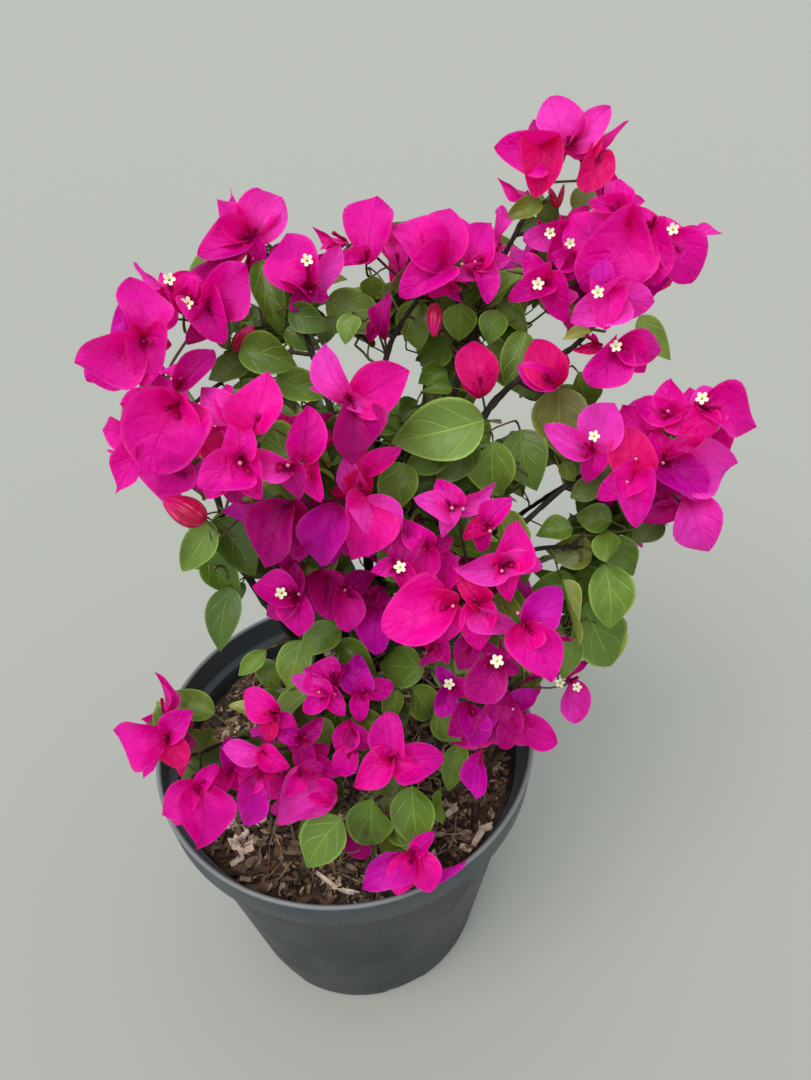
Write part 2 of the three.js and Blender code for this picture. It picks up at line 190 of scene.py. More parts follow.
BLOOMS_SEEN = {
    "blossom_top": [
        ((567, 146), [(550, 96, 5, 1.4, SHEEN_LIGHT), (611, 106, 10, .65, SHEEN_LIGHT), (588, 157, 20, .3, SHEEN_LIGHT)]),
        ((582, 160), [(601, 119, 10, 1, CRIMSON_AND_GLOW)]),
        ((600, 154), [(630, 120, 0, .3), (584, 192, 5, 1.2, CRIMSON_AND_GLOW)]),
        ((547, 142), [(493, 147, 16, 1.1), (535, 198, 0, 1.1, CRIMSON_AND_GLOW), (533, 119, 0, .9, SHADED_DEEP)]),
        ((527, 191), [(497, 177, 0, .4)]),
        ((604, 207), [(601, 165, 0, .8)]),
    ],
    "blossom_upper_right_back": [
        ((617, 216), [(617, 178, 5, 1.3), (588, 200, 10, .9), (646, 201, 0, .6)]),
        ((650, 230), [(662, 216, 10, .8), (638, 206, 10, .8), (658, 286, 15, 1.2)]),
        ((668, 240), [(692, 284, 10, 1.35), (704, 254, -5, 1.2, PURPLE_AND_SHADE)], [(673, 229)]),
        ((692, 240), [(723, 234, 0, .4, SHEEN_LIGHT)]),
        ((565, 232), [(523, 240, 10, .8, SHEEN_LIGHT), (590, 206, 5, .9),
                      (548, 262, 25, 1)], [(550, 233), (570, 243)]),
        ((625, 236), [(578, 286, 20, 1.2), (634, 296, 20, 1.2)]),
        ((612, 262), [(570, 216, 0, 1.2), (600, 202, 0, 1, SHEEN_LIGHT), (640, 224, 0, 1.1)]),
    ],
    "blossom_upper_right": [
        ((606, 290), [(569, 322, 25, 1.1, SHEEN_LIGHT), (655, 302, 20, 1.1, SHEEN_LIGHT), (604, 258, 10, 1.25, PURPLE_AND_SHADE),
                      (605, 330, 30, .9)], [(598, 292)]),
    ],
    "blossom_upper_right_inner": [
        ((578, 262), [(558, 284, 0, 1.1, SHADED_DEEP), (550, 254, 0, 1.1)]),
        ((545, 284), [(507, 300, 20, .9), (566, 323, 20, .9), (524, 252, 15, 1)], [(538, 284)]),
    ],
    "blossom_right_hanging": [
        ((617, 347), [(589, 385, 15, 1.35), (662, 350, 10, 1.15), (645, 373, 10, 1.2)], [(616, 346)]),
        ((600, 345), [(592, 333, 0, .6), (572, 350, -10, .5, CRIMSON_AND_GLOW)]),
    ],
    "leaves_mid_right": [
        ((554, 386), [(534, 338, 10, 1.1, CRIMSON_AND_GLOW), (518, 366, 10, .8), (567, 354, 5, .9, CRIMSON_AND_GLOW)]),
    ],
    "leaves_upper": [
        ((482, 394), [(472, 341, 0, 1, CRIMSON_AND_GLOW), (457, 368, 10, .5, CRIMSON_AND_GLOW)]),
    ],
    "leaves_upper_mid": [
        ((385, 338), [(388, 292, 0, .6, SHADED_DEEP)]),
        ((370, 340), [(375, 318, 0, .8, SHADED_DEEP)]),
    ],
    "blossom_upper_centre": [
        ((442, 268), [(391, 225, 10, 1.05), (450, 207, 5, 1.25), (398, 297, 25, 1.1)]),
        ((474, 270), [(492, 222, 5, 1.1), (511, 258, 15, .7, SHEEN_LIGHT), (447, 281, 30, .6, SHEEN_LIGHT),
                      (488, 304, 15, 1.1)]),
        ((452, 283), [(461, 303, 30, .7), (428, 297, 15, .9)]),
        ((399, 270), [(387, 229, 0, .6, SHEEN_LIGHT)]),
        ((496, 238), [(503, 205, -10, .6, SHEEN_LIGHT)]),
    ],
    "blossom_upper_centre_left": [
        ((366, 262), [(377, 196, 0, 1.1), (334, 268, 25, .9)]),
        ((346, 240), [(312, 226, 0, .4)]),
        ((345, 244), [(319, 250, 0, .35, SHEEN_LIGHT)]),
    ],
    "blossom_upper_left_back": [
        ((252, 240), [(196, 255, 10, 1), (206, 234, 5, .9), (217, 199, 10, .8), (258, 187, 0, 1.1),
                      (264, 264, 5, .9), (282, 197, 0, 1.15, SHEEN_LIGHT)]),
        ((225, 212), [(231, 188, -10, .35, SHEEN_LIGHT)]),
    ],
    "blossom_upper_left": [
        ((309, 291), [(286, 232, 10, 1.4), (267, 268, 15, 1), (329, 298, 20, .8), (290, 311, 10, 1, SHADED_DEEP),
                      (341, 244, -5, .5, SHEEN_LIGHT)], [(307, 260)]),
    ],
    "blossom_left_top": [
        ((205, 305), [(247, 264, 5, 1.4), (224, 345, 25, 1.2), (187, 345, 15, .9, SHADED_DEEP)], [(187, 303)]),
        ((172, 296), [(133, 261, 0, .4, SHEEN_LIGHT), (197, 272, 0, .6), (150, 312, 25, .9),
                      (164, 332, 5, 1.2)], [(169, 279)]),
        ((184, 312), [(160, 272, 5, 1.2), (194, 271, 5, 1.1), (214, 282, 0, 1)]),
    ],
    "blossom_left_tip": [
        ((142, 338), [(130, 276, 10, 1.2), (74, 363, 10, 1.2), (172, 345, -10, .9, CRIMSON_AND_GLOW),
                      (147, 388, 20, 1)]),
        ((128, 350), [(88, 380, 0, 1.1), (112, 391, 5, 1.2)]),
        ((146, 362), [(115, 372, 20, .6, SHEEN_LIGHT)]),
    ],
    "blossom_left_mid": [
        ((184, 402), [(120, 404, 15, 1.5), (148, 476, 15, 1.4), (198, 460, 10, 1.3, LIT_BRIGHT)]),
        ((148, 448), [(115, 494, 0, .7), (106, 450, 0, .5, SHEEN_LIGHT)]),
        ((172, 452), [(156, 496, 0, 1.4), (190, 480, -5, .9, SHADED_DEEP)]),
        ((144, 430), [(102, 430, 0, 1.2)]),
        ((178, 388), [(160, 369, -5, 1), (214, 350, 0, .7, SHADED_DEEP)]),
    ],
    "blossom_centre_left": [
        ((242, 458), [(197, 488, 15, 1.4), (236, 412, 20, 1.1), (262, 500, 15, 1)]),
        ((255, 430), [(268, 371, 10, 1.4, LIT_BRIGHT)]),
        ((233, 420), [(201, 387, 5, 1.2, SHEEN_LIGHT), (212, 432, 10, .5), (226, 384, 0, .8)]),
        ((291, 463), [(246, 452, 20, .9, SHEEN_LIGHT), (300, 500, 10, 1, SHADED_DEEP)]),
        ((228, 468), [(206, 499, 0, 1.2), (238, 504, 0, 1, SHADED_DEEP)]),
        ((304, 458), [(308, 405, 15, 1.15)]),
        ((311, 467), [(321, 503, 15, 1, LIT_BRIGHT)]),
    ],
    "blossom_centre_top": [
        ((352, 402), [(325, 341, 0, .6, SHEEN_LIGHT), (411, 370, 5, 1.05, LIT_BRIGHT), (308, 388, 5, .5, SHEEN_LIGHT),
                      (377, 415, 20, .8, SHEEN_LIGHT), (352, 466, -5, 1.2, SHADED_DEEP)]),
        ((367, 471), [(402, 447, 5, .75, LIT_BRIGHT)]),
        ((366, 494), [(343, 458, 10, .8, SHEEN_LIGHT), (330, 492, 10, .8, CRIMSON_AND_GLOW), (368, 450, 5, .9, CRIMSON_AND_GLOW)]),
    ],
    "blossom_centre_low": [
        ((366, 500), [(386, 555, 10, 1.1, SHEEN_LIGHT), (350, 562, 15, 1.25, LIT_BRIGHT)]),
        ((335, 506), [(322, 568, 0, 1.1, PURPLE_AND_SHADE)]),
        ((292, 505), [(221, 512, 0, .7, PURPLE_AND_SHADE), (265, 568, 0, 1.1, SHADED_DEEP), (300, 562, 5, 1.2, SHADED_DEEP)]),
    ],
    "blossom_lower_left": [
        ((298, 596), [(252, 586, 5, 1.1), (299, 637, 10, 1.35), (294, 562, 10, .9, SHADED_DEEP),
                      (266, 616, 5, 1.2, SHADED_DEEP)], [(281, 593)]),
        ((320, 572), [(311, 614, 0, 1.2, SHADED_DEEP), (334, 620, 0, 1.2)]),
        ((346, 590), [(348, 632, 10, 1.15), (330, 570, 0, .9), (378, 575, 0, 1, SHADED_DEEP)]),
        ((383, 607), [(375, 655, 0, .9, PURPLE_AND_SHADE)]),
        ((380, 588), [(370, 636, 0, 1.2, SHADED_DEEP), (362, 600, 0, .9)]),
    ],
    "blossom_front_left": [
        ((401, 565), [(408, 526, 5, 1, SHADED_DEEP), (370, 572, 5, .8), (410, 597, 10, .9)], [(400, 567)]),
        ((452, 606), [(410, 588, 15, 1.3, CRIMSON_AND_GLOW), (382, 630, 10, 1.25, LIT_BRIGHT), (440, 645, 15, 1)]),
        ((430, 640), [(420, 667, 5, .9, SHADED_DEEP), (448, 664, 0, 1)]),
        ((428, 548), [(404, 518, 0, 1), (454, 538, 0, .9, SHADED_DEEP), (426, 584, 0, 1.3)]),
        ((440, 590), [(448, 548, 0, 1.2), (402, 598, 0, 1.1, CRIMSON_AND_GLOW)]),
        ((474, 640), [(458, 670, 0, 1.2, SHADED_DEEP)]),
    ],
    "blossom_front_top": [
        ((453, 510), [(413, 498, 10, 1, SHEEN_LIGHT), (437, 478, 5, 1.1), (441, 539, 25, .9, SHEEN_LIGHT),
                      (497, 482, 5, .5, SHEEN_LIGHT)]),
        ((487, 525), [(512, 497, 5, 1.1), (463, 540, 15, .9, CRIMSON_AND_GLOW), (480, 552, 15, .9)]),
    ],
    "blossom_front_right": [
        ((503, 566), [(518, 520, 10, 1.35, LIT_BRIGHT), (543, 567, 15, 1, SHEEN_LIGHT), (510, 602, 15, 1, LIT_BRIGHT),
                      (452, 567, 10, .8, SHEEN_LIGHT)]),
        ((476, 604), [(480, 651, 20, 1.1, LIT_BRIGHT), (519, 632, 15, .7, SHEEN_LIGHT), (458, 575, 15, 1.1, CRIMSON_AND_GLOW)]),
        ((524, 624), [(561, 588, 5, 1, PURPLE_AND_SHADE), (552, 683, 10, 1.15), (508, 660, 10, 1, LIT_BRIGHT)]),
        ((556, 640), [(571, 640, 0, .5, PURPLE_AND_SHADE)]),
        ((497, 660), [(468, 700, 0, 1.2, SHADED_DEEP), (520, 672, 0, 1, SHADED_DEEP),
                      (480, 640, 10, .9, SHADED_DEEP)], [(497, 661)]),
    ],
    "blossom_front_low": [
        ((450, 686), [(437, 665, 0, .8, PURPLE_AND_SHADE), (478, 690, 5, 1.1),
                      (440, 718, 5, 1, PURPLE_AND_SHADE)], [(449, 684)]),
        ((470, 706), [(447, 736, 5, 1.1, SHADED_DEEP), (476, 746, 5, 1.2, PURPLE_AND_SHADE), (506, 706, 0, 1, PURPLE_AND_SHADE)]),
        ((505, 694), [(488, 742, 0, 1.3, SHADED_DEEP)]),
        ((516, 724), [(500, 748, 0, 1.1, SHADED_DEEP), (536, 744, 0, 1.1), (508, 698, 0, 1, SHADED_DEEP)]),
        ((513, 709), [(537, 690, 5, 1.1, PURPLE_AND_SHADE), (485, 715, 10, .9), (497, 680, 0, .9)]),
        ((513, 732), [(558, 743, 5, 1.1), (530, 712, 0, .8)]),
        ((482, 752), [(476, 799, 0, .65, PURPLE_AND_SHADE)]),
        ((569, 680), [(576, 724, 0, 1, SHEEN_LIGHT), (592, 659, 0, .4)], [(560, 683), (577, 687)]),
    ],
    "blossom_right_inner": [
        ((591, 450), [(543, 424, 5, .7, SHEEN_LIGHT), (586, 483, 10, 1.15),
                      (615, 402, 5, 1.35, SHEEN_LIGHT)], [(594, 436)]),
        ((632, 480), [(596, 499, 20, 1.1), (636, 528, 20, 1.2), (628, 427, 10, 1.3, CRIMSON_AND_GLOW)]),
    ],
    "blossom_right_tip": [
        ((672, 416), [(671, 378, 5, 1.3), (636, 401, 0, 1), (645, 428, 15, 1), (708, 436, 15, 1.2)]),
        ((700, 408), [(738, 396, -10, .8, SHEEN_LIGHT), (757, 427, 5, 1.3), (712, 392, 0, .5),
                      (690, 446, 10, 1.1, LIT_BRIGHT)], [(702, 398)]),
        ((662, 462), [(716, 452, 10, .6, SHEEN_LIGHT), (738, 463, -5, 1.1, SHEEN_LIGHT), (704, 500, 10, 1.1, PURPLE_AND_SHADE),
                      (653, 430, 10, 1)]),
        ((687, 500), [(709, 552, 5, 1.35, SHEEN_LIGHT)]),
        ((672, 505), [(642, 522, 0, 1, SHADED_DEEP)]),
        ((694, 424), [(690, 387, 0, 1.2), (724, 393, 0, 1.1, SHEEN_LIGHT)]),
        ((654, 438), [(622, 404, 0, 1.2)]),
        ((650, 476), [(636, 430, 5, 1.1, LIT_BRIGHT), (668, 438, 5, 1.1), (668, 500, 5, 1, SHADED_DEEP)]),
    ],
    "leaves_low_centre": [
        ((328, 693), [(320, 661, 10, 1.3), (291, 676, 5, .6, SHEEN_LIGHT), (345, 716, 15, 1), (303, 712, 10, .9)]),
        ((350, 722), [(337, 753, 0, 1.2), (366, 750, 0, 1.1, SHADED_DEEP)]),
        ((336, 684), [(348, 664, 0, 1, SHADED_DEEP), (304, 668, 0, 1.1)]),
        ((354, 748), [(334, 774, 0, 1.2)]),
        ((362, 693), [(357, 653, 5, 1.1, PURPLE_AND_SHADE), (394, 684, 5, .9), (360, 722, 15, .9)]),
    ],
    "blossom_low_left": [
        ((277, 712), [(244, 690, 5, 1.1, LIT_BRIGHT), (298, 726, 10, .9), (268, 742, 15, .9, CRIMSON_AND_GLOW)]),
        ((262, 750), [(222, 748, 10, .9, SHEEN_LIGHT), (290, 768, 10, 1, LIT_BRIGHT)]),
        ((254, 776), [(244, 827, 0, .75, PURPLE_AND_SHADE)]),
        ((264, 764), [(270, 806, 0, 1, SHADED_DEEP), (240, 790, 0, .9)]),
        ((300, 740), [(322, 716, 0, .9, SHADED_DEEP), (272, 728, 0, .9, PURPLE_AND_SHADE), (312, 772, 0, 1, SHADED_DEEP)]),
        ((305, 765), [(330, 745, 5, 1), (340, 775, 10, .9), (288, 742, 5, .8)]),
        ((334, 794), [(276, 824, 15, 1.25, SHEEN_LIGHT), (298, 782, 5, 1)]),
        ((300, 770), [(282, 796, 0, .9), (324, 766, 0, 1, SHADED_DEEP)]),
    ],
    "blossom_low_front": [
        ((392, 757), [(387, 712, 5, 1.2), (444, 758, 10, 1), (353, 787, 10, 1, LIT_BRIGHT), (425, 780, 15, .9)]),
    ],
    "blossom_front_foot": [
        ((413, 852), [(396, 895, 10, 1.1, LIT_BRIGHT), (432, 892, 15, 1.1, LIT_BRIGHT), (434, 832, 5, .7),
                      (362, 889, 0, .8, PURPLE_AND_SHADE)]),
        ((428, 866), [(468, 860, 0, .45, PURPLE_AND_SHADE)]),
        ((345, 822), [(368, 858, 0, .9, SHADED_DEEP)]),
    ],
    "blossom_rim_left": [
        ((169, 735), [(113, 730, 5, 1.4), (194, 711, 5, 1.2), (143, 779, 0, .5),
                      (184, 768, 10, 1.2, CRIMSON_AND_GLOW)]),
        ((163, 712), [(154, 671, 0, .35)]),
        ((200, 784), [(163, 816, 5, 1), (196, 850, 10, 1.4), (218, 764, 5, .8)]),
        ((232, 768), [(210, 802, 5, .9), (262, 790, 10, 1), (228, 736, 5, .8, PURPLE_AND_SHADE)]),
    ],
}

# The flowers that show only their closed tips, beside the hearts above

SMALL_TIPS_SEEN = [
    (605, 298), (622, 295), (462, 264), (475, 262), (124, 339), (130, 343), (240, 463), (288, 465),
    (345, 590), (299, 594), (453, 606), (452, 508), (463, 509), (490, 531), (502, 571), (473, 605),
    (518, 613), (540, 624), (513, 709), (636, 459), (627, 482), (668, 411), (671, 447), (663, 463),
    (319, 692), (335, 694),
]

# Buds: clump, foot, tip and thickness in pixels

BUDS_SEEN = [
    ("blossom_left_top", (236, 352), (253, 326), 20),
    ("blossom_left_mid", (206, 520), (163, 500), 30),
    ("leaves_upper", (435, 303), (434, 337), 16),
    ("blossom_top", (557, 208), (549, 187), 8),
    ("blossom_top", (558, 208), (564, 184), 6),
]

# What shows of the leaves: foot, tip, the width of the blade, and the tint if it isn't green

LEAVES_SEEN = {
    "blossom_top": [(541, 202, 503, 221, 22, OLIVE), (549, 200, 546, 226, 22),
        (573, 209, 597, 190, 26, OLIVE), (536, 218, 515, 236, 16, DARK)],
    "leaves_left_top": [(259, 262, 284, 340, 34), (240, 350, 298, 366, 44), (276, 378, 336, 396, 36, FRESH),
        (290, 308, 328, 330, 30, DARK), (285, 330, 322, 350, 24), (250, 362, 208, 380, 30, DARK),
        (318, 288, 292, 312, 24)],
    "leaves_upper_mid": [(327, 300, 392, 330, 46, FRESH), (322, 278, 348, 280, 14, YOUNG),
        (371, 276, 372, 298, 24), (355, 315, 345, 345, 24, FRESH), (333, 318, 322, 346, 24, DARK)],
    "leaves_upper": [(412, 300, 420, 352, 36), (462, 303, 458, 342, 36), (497, 310, 488, 345, 30),
        (500, 296, 528, 338, 24), (452, 342, 420, 366, 38), (452, 388, 422, 392, 20),
        (447, 371, 418, 384, 26), (436, 294, 452, 322, 26)],
    "leaves_centre": [(484, 420, 388, 444, 62, FRESH), (472, 434, 438, 484, 42, DARK),
        (404, 463, 386, 520, 42), (372, 425, 400, 432, 14), (415, 500, 445, 466, 28),
        (450, 456, 402, 470, 34), (440, 480, 402, 500, 30, DARK)],
    "leaves_centre_right": [(493, 441, 500, 497, 52, FRESH), (520, 430, 537, 492, 48)],
    "leaves_mid_right": [(525, 332, 508, 392, 34), (560, 388, 566, 461, 54, OLIVE), (578, 372, 593, 408, 38),
        (590, 330, 562, 340, 16, YOUNG), (600, 484, 570, 498, 26, DARK), (563, 462, 575, 482, 18)],
    "blossom_right_hanging": [(640, 316, 671, 361, 26, FRESH)],
    "leaves_right_low": [(572, 528, 535, 536, 28), (612, 522, 575, 516, 32), (592, 554, 545, 550, 36, OLIVE),
        (606, 562, 604, 530, 30, FRESH), (604, 540, 634, 576, 36), (662, 520, 630, 542, 30, DARK)],
    "leaves_right_foot": [(603, 564, 610, 630, 48, FRESH), (584, 604, 610, 667, 58),
        (575, 580, 527, 594, 30), (562, 580, 578, 650, 14, YOUNG), (575, 636, 562, 680, 24)],
    "leaves_left_low": [(212, 522, 182, 572, 34, FRESH), (214, 522, 256, 577, 46, DARK),
        (206, 556, 240, 600, 36), (229, 587, 220, 653, 34, DARK), (243, 582, 236, 606, 12, DARK)],
    "leaves_low_centre": [(340, 628, 300, 656, 32), (336, 642, 380, 680, 30), (424, 668, 378, 664, 42),
        (412, 688, 434, 717, 34), (434, 712, 462, 742, 28), (300, 640, 288, 692, 36, FRESH),
        (266, 650, 238, 676, 20, FRESH), (262, 660, 280, 690, 22), (352, 712, 400, 735, 24),
        (398, 690, 390, 724, 24), (318, 718, 330, 745, 24), (360, 640, 345, 668, 22, FRESH)],
    "blossom_low_left": [(214, 714, 172, 692, 30), (250, 712, 228, 706, 14, YOUNG)],
    "leaves_front_foot": [(372, 798, 372, 846, 50), (412, 786, 418, 850, 46), (342, 818, 306, 868, 48),
        (462, 742, 448, 792, 26), (440, 790, 443, 825, 12)],
}

# Places where the ground, the soil or a bare stem shows through, as circles in pixels

KEPT_OPEN = [
    (595, 405, 13), (516, 414, 15), (555, 480, 10), (495, 430, 5), (410, 390, 9), (385, 345, 6),
    (405, 378, 7), (330, 345, 6), (195, 345, 7), (205, 375, 5), (300, 352, 6), (255, 585, 8), (205, 452, 4),
    (560, 178, 8), (205, 665, 22), (235, 630, 18), (225, 690, 8), (240, 850, 26), (290, 885, 24),
    (480, 820, 24), (450, 840, 12), (500, 397, 6), (525, 386, 6), (575, 362, 5), (600, 345, 5),
    (548, 505, 6), (535, 520, 5), (570, 490, 5), (310, 360, 5), (325, 375, 5), (505, 800, 14), (88, 300, 18),
    (96, 284, 10), (508, 110, 18), (520, 122, 8), (494, 119, 9), (619, 165, 14), (692, 210, 18),
    (668, 195, 9), (645, 190, 7), (470, 198, 13), (500, 196, 9), (488, 209, 5), (415, 212, 8), (398, 217, 5),
    (432, 206, 6), (612, 398, 14), (640, 374, 10), (656, 372, 8), (626, 386, 8), (663, 322, 7),
    (722, 494, 8), (740, 384, 8), (250, 612, 12), (257, 640, 8), (130, 775, 22), (167, 783, 9),
    (146, 802, 18), (158, 828, 12), (120, 750, 8), (378, 268, 8), (341, 281, 4), (393, 281, 5),
    (205, 238, 6), (180, 262, 5), (196, 590, 10), (212, 632, 9), (645, 386, 12), (628, 402, 8),
    (600, 386, 8), (305, 358, 9), (316, 375, 7), (535, 415, 8), (490, 505, 5), (238, 700, 8), (232, 180, 10),
    (198, 224, 14), (200, 264, 7), (300, 215, 10), (291, 222, 8), (556, 712, 12), (440, 194, 8),
    (478, 211, 6), (672, 203, 10), (78, 325, 9), (700, 296, 10), (726, 492, 8), (100, 468, 10),
    (128, 500, 8), (190, 849, 6), (732, 474, 5), (660, 213, 4),
]

# Blades: the range of each measure, and circles along a blade as a share of its length and of its radius

Blade = namedtuple("Blade", "belly taper fold opens bow curl ruffle waves pucker twist sway")
BRACT_FORMS = Blade((0.48, 0.62), (0.72, 1.05), (0.35, 0.8), (0.4, 1.4), (0.04, 0.28), (-0.1, 0.34),
                    (0.07, 0.15), (0.7, 1.9), (0.016, 0.034), (-0.6, 0.6), (-0.08, 0.08))
LEAF_FORMS = Blade((0.5, 0.64), (0.86, 1.15), (0.06, 0.3), (0.1, 0.6), (-0.02, 0.1), (0.04, 0.3),
                   (0.02, 0.06), (1.0, 2.2), (0.006, 0.012), (-0.4, 0.4), (-0.08, 0.08))
BRACT_SHAPES = 16
BRACT_SEED = 3
LEAF_SHAPES = 10
LEAF_SEED = 5
BLADE_CELLS = (4, 14)
BLADE_CIRCLES = ((0.1, 0.6), (0.35, 1), (0.62, 1), (0.85, 0.6))

# How what shows is laid: depths, clearances and radii in millimetres, reaches in pixels, the rest as shares

HEART_SUNK = 0.34
LEAF_SUNK = 0.12
HEART_REACH = 24
LEAF_REACH = 16
LONGEST_BRACT = 50
BRACT_HOLLOW = 1.6
BRACT_BREADTH = 0.86
SLIM_SHARE = 0.6
SLIM_BREADTH = 0.5
LIMB_CLEAR = 9
LIMB_REACH = 35
BACKING_REACH = 15
BACKING_GAP = 14
LEAF_CUTS = (18, 14)
LEAF_BEHIND = 16
LEAST_BEHIND = 3
TWIG_BEHIND = 8
TWIG_PUSH_MOST = 30
PUSH_ROUNDS = 4
FLOWERS_SHOWN = 0.75
STAR_RADIUS = (2.9, 3.4)
TUBE_RADII = (0.9, 1.05, 0.8, 1.0, 1.25)
BOX_SLACK = 3
RIM_CLEAR = 9

# Growth of what the photograph hides

FILL_SEED = 11
BLOOM_SPACING = 14
HEART_GAP = 13
FILL_DEPTHS = (0.5, 0.62, 0.74, 0.95)
FILL_DEPTH_SHARES = (0.25, 0.35, 0.25, 0.15)
BETWEEN_CLUMPS = 125
BLOOMS_BETWEEN = 9
BRACT_LENGTH = (25, 36)
BRACT_SPREAD = (48, 82)
OPEN_FLOWERS = 0.22
PEDUNCLE = 14
LEAF_LENGTH = (25, 44)
LEAF_BREADTH = (0.56, 0.7)
LEAF_GAP = 11
SHOOT_GAP = 18
SHOOT_LENGTH = (22, 46)
LOWEST_SHOOT = 232
SHOOTS_IN_CLUMP = 26
LOWEST_WOOD = 214
OLDER_WOOD = 0.25
TWIG_STEP = 5.0
TWIG_WOBBLE = 1.2
STALK_STEP = 3
CROWN_FOOT = np.array((20, 0, 300))


# Small helpers

def unit(vector):
    return vector / max(np.linalg.norm(vector), 1e-9)


def across(vector, axis):
    """The part of a direction that is square to an axis, as a unit vector."""
    left = vector - axis * (vector @ axis)
    if np.linalg.norm(left) < 1e-6:
        left = np.cross(axis, (0.3, 0.9, 0.1))
    return unit(left)


def turned(vector, axis, angle):
    """A vector turned round a unit axis."""
    side = np.cross(axis, vector)
    return vector * math.cos(angle) + side * math.sin(angle) + axis * (axis @ vector) * (1 - math.cos(angle))


def linear(color):
    """An sRGB colour of 0 to 255 as the linear one that a shader takes."""
    return tuple(((c / 255 + 0.055) / 1.055) ** 2.4 if c > 10 else c / 255 / 12.92 for c in color) + (1.0,)


def toned(color, factor, lift=0.0):
    """A linear colour made lighter or darker."""
    return tuple(min(1.0, c * factor + lift) for c in color[:3]) + (1.0,)


def camera_axes():
    """The camera's right, its down and its way ahead."""
    right = np.array((1.0, 0.0, 0.0))
    ahead = np.array((0.0, math.cos(LOOK_DOWN), -math.sin(LOOK_DOWN)))
    down = np.cross(ahead, right)
    lean, level = math.sin(CAMERA_LEAN), math.cos(CAMERA_LEAN)
    return np.array((level * right + lean * down, level * down - lean * right, ahead))


AXES = camera_axes()


def ray(x, y):
    """The way from the camera through a pixel, one millimetre deep."""
    aside, below = x - PHOTO_WIDTH / 2, y - PHOTO_HEIGHT / 2
    return np.array((aside / FOCAL_PIXELS, below / FOCAL_PIXELS, 1.0)) @ AXES


def in_photo(points):
    """Pixel x, pixel y and depth of each point."""
    seen = (np.atleast_2d(points) - CAMERA_PLACE) @ AXES.T
    x = PHOTO_WIDTH / 2 + FOCAL_PIXELS * seen[:, 0] / seen[:, 2]
    y = PHOTO_HEIGHT / 2 + FOCAL_PIXELS * seen[:, 1] / seen[:, 2]
    return np.stack((x, y, seen[:, 2]), axis=1)


def seen_at(x, y, depth):
    """The point that a pixel shows at a depth."""
    return CAMERA_PLACE + ray(x, y) * depth


def to_viewer(point):
    return unit(CAMERA_PLACE - point)


class Clump:
    """A clump of the frame as an ellipsoid in its box."""

    def __init__(self, name):
        low, high = (np.array(corner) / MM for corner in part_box(name))
        self.name = name
        self.centre = (low + high) / 2
        self.half = (high - low) / 2

    def depth_at(self, x, y, sunk):
        """How deep a pixel's ray meets the front, sunk from there towards the middle by a share."""
        start = (CAMERA_PLACE - self.centre) / self.half
        way = ray(x, y) / self.half
        nearest = -(start @ way) / (way @ way)
        miss = start + nearest * way
        bulge = math.sqrt(max(0.0, 1 - miss @ miss)) / np.linalg.norm(way)
        return nearest - (1 - sunk) * bulge


CLUMPS = {name: Clump(name) for name in frame["nodes"] if name.startswith(("blossom_", "leaves_"))}
BLOSSOM_CLUMPS = [clump for clump in CLUMPS.values() if clump.name.startswith("blossom_")]
LEAF_CLUMPS = [clump for clump in CLUMPS.values() if clump.name.startswith("leaves_")]
LIMB_NODES = [name for name in frame["nodes"] if name == "stem" or name.startswith("bough_")]


def apart(spots, circles):
    """How many pixels each spot lies from the middle of each circle."""
    return np.hypot(spots[:, None, 0] - circles[:, 0], spots[:, None, 1] - circles[:, 1])


